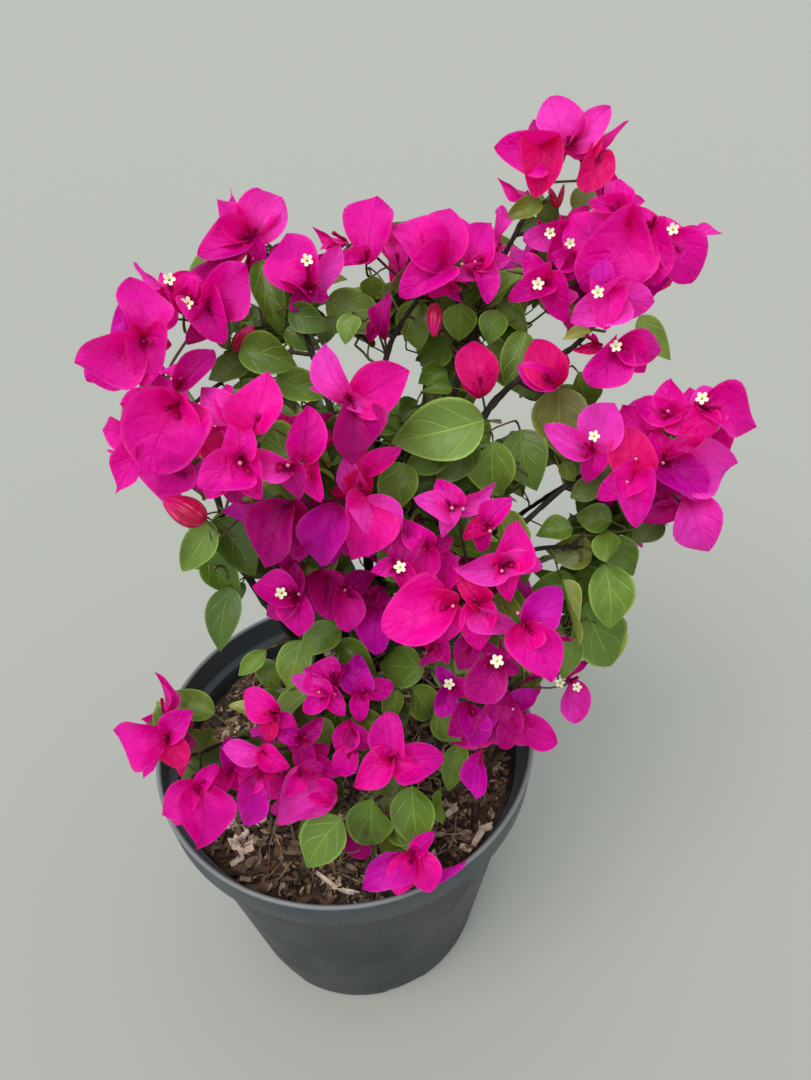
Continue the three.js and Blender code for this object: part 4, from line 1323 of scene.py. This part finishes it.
def bough_shoots(bush, lines):
    """Side shoots by turns up every bough."""
    rng = bush.rng
    shoots = []
    for line, _ in lines.values():
        turn = rng.uniform(0, 2 * math.pi)
        for i in range(12, len(line) - 2, round(SHOOT_GAP / LIMB_STEP)):
            turn += GOLDEN_ANGLE
            heading = unit(line[i + 1] - line[i])
            outward = turned(across(UP, heading), heading, turn)
            way = unit(outward + 0.5 * heading + 0.4 * UP)
            target = line[i] + way * rng.uniform(*SHOOT_LENGTH)
            if target[2] >= LOWEST_SHOOT and not bush.seen.crosses_gap(line[i], target):
                shoots.append(bush.wood.grow(target, way, rng))
    return shoots


def clump_shoots(bush, clump):
    """Shoots that fan out inside a clump of leaves."""
    rng = bush.rng
    shoots = []
    for way in sphere_ways(SHOOTS_IN_CLUMP, rng):
        target = clump.centre + clump.half * way * rng.uniform(0.35, 0.8)
        start = bush.wood.points[bush.wood.nearest(target)]
        if not bush.seen.crosses_gap(start, target) and in_reach(target[None]):
            shoots.append(bush.wood.grow(target, unit(way + 0.3 * UP), rng))
    return shoots


def grow_bush():
    bush = Bush()
    rng = bush.rng
    lines = limb_lines()
    for line, _ in lines.values():
        parent = bush.wood.nearest(line[0]) if bush.wood.count else -1
        for point in line:
            parent = bush.wood.add(point, parent, point[2] > LOWEST_WOOD)
    bush.limbs_seen = in_photo(bush.wood.points[: bush.wood.count])
    blossom(bush)
    for bud in BUDS_SEEN:
        seen_bud(bush, *bud)
    for name, rows in LEAVES_SEEN.items():
        for row in rows:
            seen_leaf(bush, CLUMPS[name], *row)
    for clump in BLOSSOM_CLUMPS:
        fill_clump(bush, clump)
    fill_between(bush)
    for clump in CLUMPS.values():
        bush.wood.grow(clump.centre, unit(clump.centre - CROWN_FOOT), rng)
    twigs = []
    for foot, heart, axis in bush.pending:
        run = bush.wood.grow(foot, unit(heart - foot), rng)
        twigs.append(run)
        bush.stalk(run[-1], heart, axis, (0.8, 0.65))
    for foot, base, along in bush.leaf_pending:
        run = bush.wood.grow(foot, unit(base - foot), rng)
        bush.stalk(run[-1], base, along, (0.8, 0.6))
    for clump in LEAF_CLUMPS:
        twigs += clump_shoots(bush, clump)
    twigs += bough_shoots(bush, lines)
    for run in twigs:
        leaves_on(bush, run)
    return bush, lines


# Node helpers and shared effects

def node(tree, kind, inputs=None, **settings):
    """A shader node with its settings, its inputs set or linked."""
    made = tree.nodes.new("ShaderNode" + kind)
    for name, value in settings.items():
        setattr(made, name, value)
    for key, value in (inputs or {}).items():
        if isinstance(value, bpy.types.NodeSocket):
            tree.links.new(value, made.inputs[key])
        else:
            made.inputs[key].default_value = value
    return made


def calculated(tree, operation, first, second=0.0):
    return node(tree, "Math", {0: first, 1: second}, operation=operation).outputs[0]


def times(tree, first, second):
    return calculated(tree, "MULTIPLY", first, second)


def ramped(tree, value, low, high, bottom=0.0, top=1.0):
    inputs = {"Value": value, "From Min": low, "From Max": high, "To Min": bottom, "To Max": top}
    return node(tree, "MapRange", inputs, interpolation_type="SMOOTHSTEP").outputs[0]


def mixed(tree, share, first, second):
    return node(tree, "Mix", {0: share, 6: first, 7: second}, data_type="RGBA").outputs[2]


def effect(name, inputs, outputs):
    """An empty node group with named inputs and outputs, its tree and the ends inside it."""
    tree = bpy.data.node_groups.new(name, "ShaderNodeTree")
    for socket, (kind, value) in inputs.items():
        made = tree.interface.new_socket(socket, in_out="INPUT", socket_type="NodeSocket" + kind)
        if value is not None:
            made.default_value = value
    for socket, kind in outputs.items():
        tree.interface.new_socket(socket, in_out="OUTPUT", socket_type="NodeSocket" + kind)
    return tree, tree.nodes.new("NodeGroupInput"), tree.nodes.new("NodeGroupOutput")


def veins_effect():
    """Midrib and side veins of a blade, from its own map: 1 on the midrib and Side on the others."""
    tree, given, out = effect(
        "blade_veins",
        {"Map": ("Vector", None), "Pairs": ("Float", 6.0), "Slant": ("Float", 0.5), "Width": ("Float", 0.1),
         "Side": ("Float", 0.5)},
        {"Veins": "Float", "Edge": "Float"},
    )
    parts = node(tree, "SeparateXYZ", {0: given.outputs["Map"]})
    aside = calculated(tree, "ABSOLUTE", calculated(tree, "SUBTRACT", parts.outputs[0], 0.5))
    rib = ramped(tree, aside, 0.0, 0.035, 1.0, 0.0)
    along = calculated(tree, "SUBTRACT", parts.outputs[1], times(tree, aside, given.outputs["Slant"]))
    wave = calculated(tree, "PINGPONG", times(tree, along, given.outputs["Pairs"]), 0.5)
    near = calculated(tree, "DIVIDE", wave, given.outputs["Width"])
    side = times(tree, ramped(tree, near, 0.0, 1.0, 1.0, 0.0), ramped(tree, aside, 0.5, 0.3))
    side = times(tree, side, given.outputs["Side"])
    tree.links.new(calculated(tree, "MAXIMUM", rib, side), out.inputs["Veins"])
    tree.links.new(ramped(tree, aside, 0.42, 0.495), out.inputs["Edge"])
    return tree


def mottle_effect():
    """Uneven cover such as dust or weathering: broad patches broken up by fine grain."""
    tree, given, out = effect(
        "mottle",
        {"Place": ("Vector", None), "Patch": ("Float", 20.0), "Grain": ("Float", 300.0)},
        {"Cover": "Float", "Grain": "Float"},
    )
    patch = node(tree, "TexNoise", {"Vector": given.outputs["Place"], "Scale": given.outputs["Patch"],
                                    "Detail": 5.0, "Roughness": 0.6})
    grain = node(tree, "TexNoise", {"Vector": given.outputs["Place"], "Scale": given.outputs["Grain"],
                                    "Detail": 3.0, "Roughness": 0.6})
    both = calculated(tree, "ADD", times(tree, patch.outputs[0], 0.7), times(tree, grain.outputs[0], 0.3))
    tree.links.new(ramped(tree, both, 0.38, 0.66), out.inputs["Cover"])
    tree.links.new(grain.outputs[0], out.inputs["Grain"])
    return tree


VEINS = veins_effect()
MOTTLE = mottle_effect()


def material(name):
    made = bpy.data.materials.new(name)
    made.use_nodes = True
    made.node_tree.nodes.clear()
    return made, made.node_tree


def place_of(tree):
    return node(tree, "TexCoord").outputs["Object"]


def bumped(tree, height, strength, distance):
    return node(tree, "Bump", {"Height": height, "Strength": strength, "Distance": distance}).outputs[0]


def finished(made, inputs, glow=None, through=0.0):
    """The material's surface from its shader's inputs, with light of the glow's colour let through."""
    tree = made.node_tree
    shader = node(tree, "BsdfPrincipled", inputs).outputs[0]
    if glow:
        light = node(tree, "BsdfTranslucent", {"Color": glow, "Normal": inputs["Normal"]}).outputs[0]
        shader = node(tree, "MixShader", {0: through, 1: shader, 2: light}).outputs[0]
    node(tree, "OutputMaterial", {"Surface": shader})
    return made


# Materials

def bract_material(name, tint):
    """Papery bract: darker crimson at its foot as painted shade and a painted glow, random patches of
    painted highlight and painted shade, a net of veins, crinkles, a pale rim that is painted rim light,
    light coming through.
    """
    made, tree = material(name)
    uv = node(tree, "TexCoord").outputs["UV"]
    place = place_of(tree)
    veins = node(tree, "Group", {"Map": uv, "Pairs": 6.0, "Slant": 0.55, "Width": 0.16, "Side": 0.7},
                 node_tree=VEINS)
    base = linear(tint)
    # foot: darker crimson towards the foot, painted shade where the bracts meet at the heart and a painted
    # glow of light let through there
    foot = linear((0.84 * tint[0], 0, 0.52 * tint[2]))
    # shade: painted shade for the dark patches, and the darker tone of the veins; pale: painted highlight
    # for the light patches; rim: painted rim light along the edge
    shade, pale, rim = toned(base, 0.6), toned(base, 1.1, 0.012), toned(base, 1.1, 0.05)
    reach = node(tree, "SeparateXYZ", {0: uv}).outputs[1]
    color = mixed(tree, ramped(tree, reach, 0.0, 0.5), foot, base)
    patches = node(tree, "TexNoise", {"Vector": place, "Scale": 45.0, "Detail": 2.0})
    # Random patches of painted highlight, then random patches of painted shade
    color = mixed(tree, ramped(tree, patches.outputs[0], 0.45, 0.65, 0.0, 0.7), color, pale)
    color = mixed(tree, ramped(tree, patches.outputs[0], 0.3, 0.5, 0.5, 0.0), color, shade)
    color = mixed(tree, times(tree, veins.outputs["Veins"], 0.11), color, shade)
    # Pale edge: painted rim light
    color = mixed(tree, times(tree, veins.outputs["Edge"], 0.5), color, rim)
    crinkle = node(tree, "TexNoise", {"Vector": place, "Scale": 130.0, "Detail": 3.0})
    relief = calculated(tree, "SUBTRACT", crinkle.outputs[0], times(tree, veins.outputs["Veins"], 0.12))
    normal = bumped(tree, relief, 0.9, 0.003)
    glow = linear((min(255, 1.04 * tint[0]), 0, 0.78 * tint[2]))
    return finished(made, {"Base Color": color, "Roughness": 0.48, "Normal": normal,
                           "Specular IOR Level": 0.17}, glow, 0.36)


def bud_material():
    """Furled young bracts: broken pale streaks that wind round a crimson bud, magenta at its tip."""
    made, tree = material("bud_rose")
    parts = node(tree, "SeparateXYZ", {0: node(tree, "TexCoord").outputs["UV"]})
    winding = calculated(tree, "ADD", times(tree, parts.outputs[0], 9.0), parts.outputs[1])
    streak = ramped(tree, calculated(tree, "PINGPONG", winding, 0.5), 0.2, 0.5)
    breaks = node(tree, "TexNoise", {"Vector": place_of(tree), "Scale": 240.0, "Detail": 2.0})
    broken = times(tree, streak, ramped(tree, breaks.outputs[0], 0.4, 0.62))
    tip_share = ramped(tree, parts.outputs[1], 0.4, 0.85)
    ground = mixed(tree, tip_share, linear((170, 0, 58)), linear((206, 0, 116)))
    color = mixed(tree, broken, ground, linear((234, 52, 122)))
    normal = bumped(tree, streak, 0.5, 0.001)
    return finished(made, {"Base Color": color, "Roughness": 0.42, "Normal": normal,
                           "Specular IOR Level": 0.3})


def leaf_material(name, tint):
    """Leaf: pale midrib and veins, a lighter rim that is partly the leaf's paler margin and partly painted
    rim light, a soft gloss.
    """
    made, tree = material(name)
    uv = node(tree, "TexCoord").outputs["UV"]
    place = place_of(tree)
    veins = node(tree, "Group", {"Map": uv, "Pairs": 5.0, "Slant": 0.6, "Width": 0.1, "Side": 0.5},
                 node_tree=VEINS)
    base = linear(tint)
    pale = linear(tuple(min(255, c * 1.35 + 22) for c in tint))
    patches = node(tree, "TexNoise", {"Vector": place, "Scale": 55.0, "Detail": 3.0})
    color = mixed(tree, ramped(tree, patches.outputs[0], 0.32, 0.6), toned(base, 0.78), base)
    color = mixed(tree, times(tree, veins.outputs["Veins"], 0.5), color, pale)
    # Lighter rim: partly the leaf's paler margin, partly painted rim light
    color = mixed(tree, times(tree, veins.outputs["Edge"], 0.5), color, pale)
    swell = node(tree, "TexNoise", {"Vector": place, "Scale": 110.0, "Detail": 1.0})
    relief = calculated(tree, "SUBTRACT", swell.outputs[0], times(tree, veins.outputs["Veins"], 0.5))
    normal = bumped(tree, relief, 0.5, 0.002)
    return finished(made, {"Base Color": color, "Roughness": 0.37, "Normal": normal,
                           "Specular IOR Level": 0.45}, base, 0.22)


def weathered_material(name, base_tint, cover_tint, roughness, patch, grain, relief, amount=1.0):
    """A solid surface with an uneven cover and a fine grain."""
    made, tree = material(name)
    cover = node(tree, "Group", {"Place": place_of(tree), "Patch": patch, "Grain": grain}, node_tree=MOTTLE)
    color = mixed(tree, times(tree, cover.outputs["Cover"], amount), linear(base_tint), linear(cover_tint))
    normal = bumped(tree, cover.outputs["Grain"], 0.6, relief)
    return finished(made, {"Base Color": color, "Roughness": roughness, "Normal": normal,
                           "Specular IOR Level": 0.3})


def pot_material():
    """Matte dark plastic: patchy dust, a lighter band, a paler lip that is a painted highlight, fine grain.
    """
    made, tree = material("dark_plastic")
    place = place_of(tree)
    cover = node(tree, "Group", {"Place": place, "Patch": 14.0, "Grain": 420.0}, node_tree=MOTTLE)
    height = node(tree, "SeparateXYZ", {0: place}).outputs[2]
    dust = times(tree, cover.outputs["Cover"], 0.4)
    color = mixed(tree, dust, linear((23, 30, 35)), linear((40, 49, 54)))
    on_band = ramped(tree, height, (POT_BAND_FOOT - 4) * MM, (POT_BAND_FOOT + 6) * MM, 0.0, 0.75)
    color = mixed(tree, on_band, color, linear((58, 66, 71)))
    # Painted highlight: paler along the top of the lip
    lip = ramped(tree, height, (POT_HEIGHT - 2.4) * MM, (POT_HEIGHT - 0.4) * MM, 0.0, 0.8)
    color = mixed(tree, lip, color, linear((122, 126, 128)))
    rough = ramped(tree, cover.outputs["Cover"], 0.0, 1.0, 0.4, 0.58)
    normal = bumped(tree, cover.outputs["Grain"], 0.25, 0.0002)
    return finished(made, {"Base Color": color, "Roughness": rough, "Normal": normal})


def plain_material(name, tint, roughness, specular=0.3):
    made, _ = material(name)
    return finished(made, {"Base Color": linear(tint), "Roughness": roughness,
                           "Specular IOR Level": specular})


# Pot and soil

def inner_radius(z):
    mouth = POT_RIM_RADIUS - POT_BAND_STEP - POT_WALL
    return POT_BASE_RADIUS - POT_WALL + (mouth - POT_BASE_RADIUS + POT_WALL) * z / POT_HEIGHT


def pot_profile():
    """Radius and height round the wall's section, from the middle of the floor out, up and back in."""
    wall_heights = [1.5, 4, 7, 10, 13, 16, 19, 24, 60, 110, 160, POT_BAND_FOOT - 1]
    wall = [(inner_radius(z) + POT_WALL, z) for z in wall_heights]
    band_radius = POT_RIM_RADIUS - POT_BAND_DRAFT
    band = [(inner_radius(POT_BAND_FOOT) + POT_WALL, POT_BAND_FOOT),
            (band_radius, POT_BAND_FOOT + POT_ROUND), (POT_RIM_RADIUS, POT_HEIGHT - POT_ROUND)]
    lip_inside = POT_RIM_RADIUS - POT_BAND_WALL
    lip = [(POT_RIM_RADIUS - POT_ROUND, POT_HEIGHT), (lip_inside + POT_ROUND, POT_HEIGHT)]
    ledge = POT_BAND_FOOT + POT_WALL
    inside = [(lip_inside, POT_HEIGHT - POT_ROUND), (band_radius - POT_BAND_WALL, ledge + POT_ROUND)]
    inside += [(inner_radius(z), z) for z in (ledge, 150, 80, POT_FLOOR)]
    return [(0, 0), (POT_BASE_RADIUS - 1.5, 0)] + wall + band + lip + inside + [(0, POT_FLOOR)]


def spun(profile, steps):
    """A closed turned solid from the radius and height of each point of its section."""
    bm = bmesh.new()
    verts = [bm.verts.new((radius * MM, 0, z * MM)) for radius, z in profile]
    edges = [bm.edges.new(pair) for pair in zip(verts, verts[1:])]
    bmesh.ops.spin(bm, geom=verts + edges, axis=(0, 0, 1), cent=(0, 0, 0), angle=2 * math.pi,
                   steps=steps, use_merge=True)
    bmesh.ops.remove_doubles(bm, verts=bm.verts, dist=1e-6)
    bmesh.ops.recalc_face_normals(bm, faces=bm.faces)
    return bm


def pot_shell():
    """The pot, with shallow arches pressed in round its foot."""
    bm = spun(pot_profile(), POT_SIDES)
    sharp = [edge for edge in bm.edges
             if len(edge.link_faces) == 2 and edge.calc_face_angle() > math.radians(30)]
    bmesh.ops.bevel(bm, geom=sharp, offset=0.45 * MM, affect="EDGES", segments=3, profile=0.5, material=-1)
    for vert in bm.verts:
        x, y, z = (c / MM for c in vert.co)
        turn = math.atan2(y, x) * FOOT_ARCHES / (2 * math.pi) + FOOT_ARCH_TURN
        aside = abs((turn + 0.5) % 1 - 0.5) * 2 * math.pi / FOOT_ARCHES * POT_BASE_RADIUS
        inside = math.hypot(aside / (FOOT_ARCH_WIDTH / 2), z / FOOT_ARCH_HEIGHT)
        if inside < 1 and math.hypot(x, y) > POT_BASE_RADIUS - 1 and z > 1:
            shrink = 1 - FOOT_ARCH_DEPTH / POT_BASE_RADIUS
            vert.co = Vector((vert.co.x * shrink, vert.co.y * shrink, vert.co.z))
    belongs(shown("pot_shell", mesh_of(bm, "pot_shell"), [pot_material()]), "pot_plastic", "pot")


def soil_height(x, y):
    """The bed's surface: lumpy, and a little higher round the stem."""
    radius = math.hypot(x, y)
    lumps = noise.noise(Vector((x / 26, y / 26, 0.5))) + 0.5 * noise.noise(Vector((x / 9, y / 9, 3.5)))
    return SOIL_TOP - 1.5 + SOIL_SWELL * lumps + 4 * math.exp(-(radius / 34) ** 2)


def soil_bed():
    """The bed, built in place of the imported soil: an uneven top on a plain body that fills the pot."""
    top = inner_radius(SOIL_TOP) - SOIL_GAP
    foot = inner_radius(SOIL_FOOT) - SOIL_GAP
    profile = [(top * i / SOIL_RINGS, SOIL_TOP) for i in range(SOIL_RINGS + 1)]
    bm = spun(profile + [(foot, SOIL_FOOT), (0, SOIL_FOOT)], SOIL_SIDES)
    for vert in bm.verts:
        if vert.co.z > SOIL_TOP / 2 * MM:
            vert.co.z = soil_height(vert.co.x / MM, vert.co.y / MM) * MM
    earth = weathered_material("soil", (42, 31, 24), (84, 66, 52), 0.95, 60.0, 500.0, 0.0016)
    belongs(shown("soil_bed", mesh_of(bm, "soil_bed"), [earth]), "potting_bark", "soil")


def chip_templates(rng):
    """Shredded bark: bent splinters with ragged ends and broken flakes, one unit long."""
    made = []
    for i in range(CHIP_SHAPES):
        bm = bmesh.new()
        bmesh.ops.create_grid(bm, x_segments=2, y_segments=4, size=0.5)
        splinter = i % 3 != 2
        bend = rng.uniform(-0.35, 0.35)
        for vert in bm.verts:
            s = vert.co.y + 0.5
            end = abs(2 * s - 1)
            ragged = rng.uniform(-0.12, 0.12) if end > 0.9 else rng.uniform(-0.04, 0.04)
            vert.co.x = vert.co.x * (1 - (0.55 if splinter else 0.2) * end ** 2) + rng.uniform(-0.09, 0.09)
            vert.co.y += ragged
            vert.co.z = bend * (1 - end ** 2) + rng.uniform(-0.05, 0.05)
        out = bmesh.ops.extrude_face_region(bm, geom=bm.faces[:])
        for vert in [g for g in out["geom"] if isinstance(g, bmesh.types.BMVert)]:
            vert.co.z += rng.uniform(0.25, 0.5)
            vert.co.x *= 0.85
        bmesh.ops.recalc_face_normals(bm, faces=bm.faces)
        made.append(template_of(bm))
    return made


CHIP_TINTS = [(56, 44, 36), (88, 69, 56), (116, 93, 75), (150, 125, 102), (124, 88, 62), (190, 166, 140),
              (236, 214, 192)]
CHIP_SHARES = (0.2, 0.26, 0.22, 0.16, 0.06, 0.1)
STRAW_TINTS = (3, 3, 4, 5)
PALE_CHIP = 6
PALE_CHIP_THICK = 4.0

# Chips that stand out by their size and pale wood: pixel, length, width and turn

PALE_CHIPS_SEEN = [
    (242, 836, 11, 9, 1.1), (246, 850, 12, 8, 0.4), (236, 846, 10, 7, 2.2), (238, 862, 11, 6, 0.6),
    (226, 828, 9, 6, 0.2), (262, 822, 9, 5, 0.9), (330, 884, 24, 3, -0.6), (345, 893, 18, 3, -0.5),
    (452, 812, 11, 5, 0.6), (478, 838, 14, 5, 1.0), (486, 828, 10, 5, 0.3), (466, 850, 9, 5, -0.4),
]


def lay_chip(chips, template, x, y, size, flat_turn, rng, tint, lift):
    """A chip on the bed, tipped a little."""
    length, width, thick = size
    heading = np.array((math.cos(flat_turn), math.sin(flat_turn), rng.normal() * 0.2))
    up = unit(np.array((rng.normal() * 0.32, rng.normal() * 0.32, 1.0)))
    along = unit(heading - up * (heading @ up))
    place = np.array((x, y, soil_height(x, y) + lift))
    chips.add(template, placed(template, place, along, up, length, width, thick), tint)


def potting_bark():
    """Loose bark chips and straws over the bed."""
    rng = np.random.default_rng(CHIP_SEED)
    fine, coarse = Gathered(), Gathered()
    templates = chip_templates(rng)
    reach = inner_radius(SOIL_TOP) - 5
    for _ in range(CHIP_COUNT):
        radius = reach * math.sqrt(rng.random())
        turn = rng.uniform(0, 2 * math.pi)
        if radius < STEM_RADII[0] + 8:
            continue
        length = min(rng.lognormal(1.95, 0.5), 20, 2 * (reach + 4 - radius) + 5)
        size = (length, length * rng.uniform(0.14, 0.45), rng.uniform(1.6, 3.6))
        tint = rng.choice(len(CHIP_SHARES), p=CHIP_SHARES)
        lay_chip(fine if length < FINE_CHIP else coarse, templates[rng.integers(CHIP_SHAPES)],
                 radius * math.cos(turn), radius * math.sin(turn), size, rng.uniform(0, math.pi), rng, tint,
                 rng.uniform(-0.6, 2.4))
    for _ in range(STRAW_COUNT):
        radius = (reach - 12) * math.sqrt(rng.random())
        turn = rng.uniform(0, 2 * math.pi)
        size = (rng.uniform(10, 30), rng.uniform(0.7, 1.6), rng.uniform(0.8, 1.4))
        lay_chip(coarse, templates[rng.integers(CHIP_SHAPES)], radius * math.cos(turn),
                 radius * math.sin(turn), size, rng.uniform(0, math.pi), rng, rng.choice(STRAW_TINTS), 3.0)
    for x, y, length, width, flat_turn in PALE_CHIPS_SEEN:
        way = ray(x, y)
        place = CAMERA_PLACE + way * (SOIL_TOP - CAMERA_PLACE[2]) / way[2]
        size = (length, width, PALE_CHIP_THICK)
        lay_chip(coarse, templates[2], place[0], place[1], size, flat_turn, rng, PALE_CHIP, 3.2)
    materials = [weathered_material(f"bark_chip_{i}", tint, tuple(c * 0.6 for c in tint), 0.9, 160.0, 900.0,
                                    0.0008, 0.8) for i, tint in enumerate(CHIP_TINTS)]
    for name, chips in (("fine_bark", fine), ("coarse_bark", coarse)):
        piece = chips.piece(name, materials)
        piece.data.polygons.foreach_set("use_smooth", np.zeros(len(piece.data.polygons), bool))
        belongs(piece, "potting_bark")


# Pieces of the bush

def woody_limbs(lines):
    rng = np.random.default_rng(BARK_SEED)
    shaped = [(line, with_nodes(radii, LIMB_STEP, rng)) for line, radii in lines.values()]
    bark = weathered_material("bark", (24, 20, 18), (74, 64, 54), 0.85, 90.0, 620.0, 0.0008, 0.6)
    piece = tubes("woody_limbs", shaped, 6, [bark])
    roughened(piece.data, BARK_DEPTH, BARK_GRAIN)
    belongs(piece, "bark", *LIMB_NODES)


def twig_piece(bush):
    young, woody = bush.wood.cut_back()
    bark = weathered_material("twig_bark", (40, 34, 28), (92, 78, 58), 0.8, 120.0, 800.0, 0.0004, 0.6)
    belongs(tubes("woody_twigs", woody, 1, [bark]), "bark")
    green_bark = weathered_material("young_bark", (84, 76, 42), (104, 98, 56), 0.7, 120.0, 800.0,
                                    0.0002, 0.6)
    belongs(tubes("young_twigs", young, 1, [green_bark]), "bark")


def small_parts(bush):
    green = plain_material("stalk_green", (84, 88, 38), 0.5)
    belongs(tubes("leaf_and_bloom_stalks", bush.stalk_lines, 0, [green]), "leaves")
    rosy = plain_material("flower_tube", (150, 0, 70), 0.55, 0.12)
    belongs(tubes("flower_tubes", bush.tube_lines, 0, [rosy]), "bracts")
    cream = plain_material("open_flower", (240, 236, 205), 0.5)
    belongs(bush.stars.piece("open_flowers", [cream]), "bracts")
    tips = [plain_material("closed_flower_tip", (158, 4, 80), 0.5, 0.12),
            plain_material("flower_eye", (196, 190, 92), 0.5),
            plain_material("pale_flower_tip", (226, 140, 168), 0.5)]
    belongs(bush.tips.piece("flower_tips", tips), "bracts")
    belongs(bush.buds.piece("buds", [bud_material()]), "bracts")


def blades(bush):
    # The bract materials beside magenta are painted light and shade: the light one a painted sheen, the deep
    # one a painted shade, the bright one a painted lit face, the purple and crimson ones partly so.
    names = ("magenta", "light", "purple", "crimson", "deep", "lit_bright")
    materials = [bract_material("bract_" + name, tint) for name, tint in zip(names, BRACT_TINTS)]
    belongs(bush.bracts.piece("bracts", materials), "bracts", *(clump.name for clump in BLOSSOM_CLUMPS))
    names = ("dark", "green", "olive", "fresh", "young")
    materials = [leaf_material("leaf_" + name, tint) for name, tint in zip(names, LEAF_TINTS)]
    belongs(bush.leaves.piece("leaves", materials), "leaves", *(clump.name for clump in LEAF_CLUMPS))


# Studio

def studio_camera():
    data = bpy.data.cameras.new("camera")
    data.sensor_width = SENSOR_MM
    data.sensor_fit = "AUTO"
    data.lens = FOCAL_PIXELS / PHOTO_HEIGHT * SENSOR_MM
    camera = linked("camera", data)
    turn = Matrix((AXES[0], -AXES[1], -AXES[2])).transposed().to_4x4()
    camera.matrix_world = Matrix.Translation(Vector(CAMERA_PLACE * MM)) @ turn
    bpy.context.scene.camera = camera


def soft_sun(name, way, strength, width, color):
    data = bpy.data.lights.new(name, "SUN")
    data.energy = strength
    data.angle = math.radians(width)
    data.color = color
    linked(name, data).rotation_euler = Vector(way).to_track_quat("-Z", "Y").to_euler()


def studio_light():
    world = bpy.data.worlds.new("soft_sky")
    world.use_nodes = True
    background = world.node_tree.nodes["Background"]
    background.inputs["Color"].default_value = (0.94, 0.98, 1.0, 1.0)
    background.inputs["Strength"].default_value = 0.98
    bpy.context.scene.world = world
    soft_sun("soft_key", (0.38, 0.5, -1), 1.75, 40, (1.0, 0.99, 0.97))


def studio_floor():
    bm = bmesh.new()
    bmesh.ops.create_grid(bm, x_segments=1, y_segments=1, size=15)
    floor = shown("floor", mesh_of(bm, "floor"), [plain_material("pale_floor", (160, 162, 155), 0.9)])


studio_camera()
studio_light()
studio_floor()
pot_shell()
soil_bed()
potting_bark()
grown, limb_shapes = grow_bush()
woody_limbs(limb_shapes)
twig_piece(grown)
small_parts(grown)
blades(grown)

bpy.context.scene.view_settings.view_transform = "Standard"
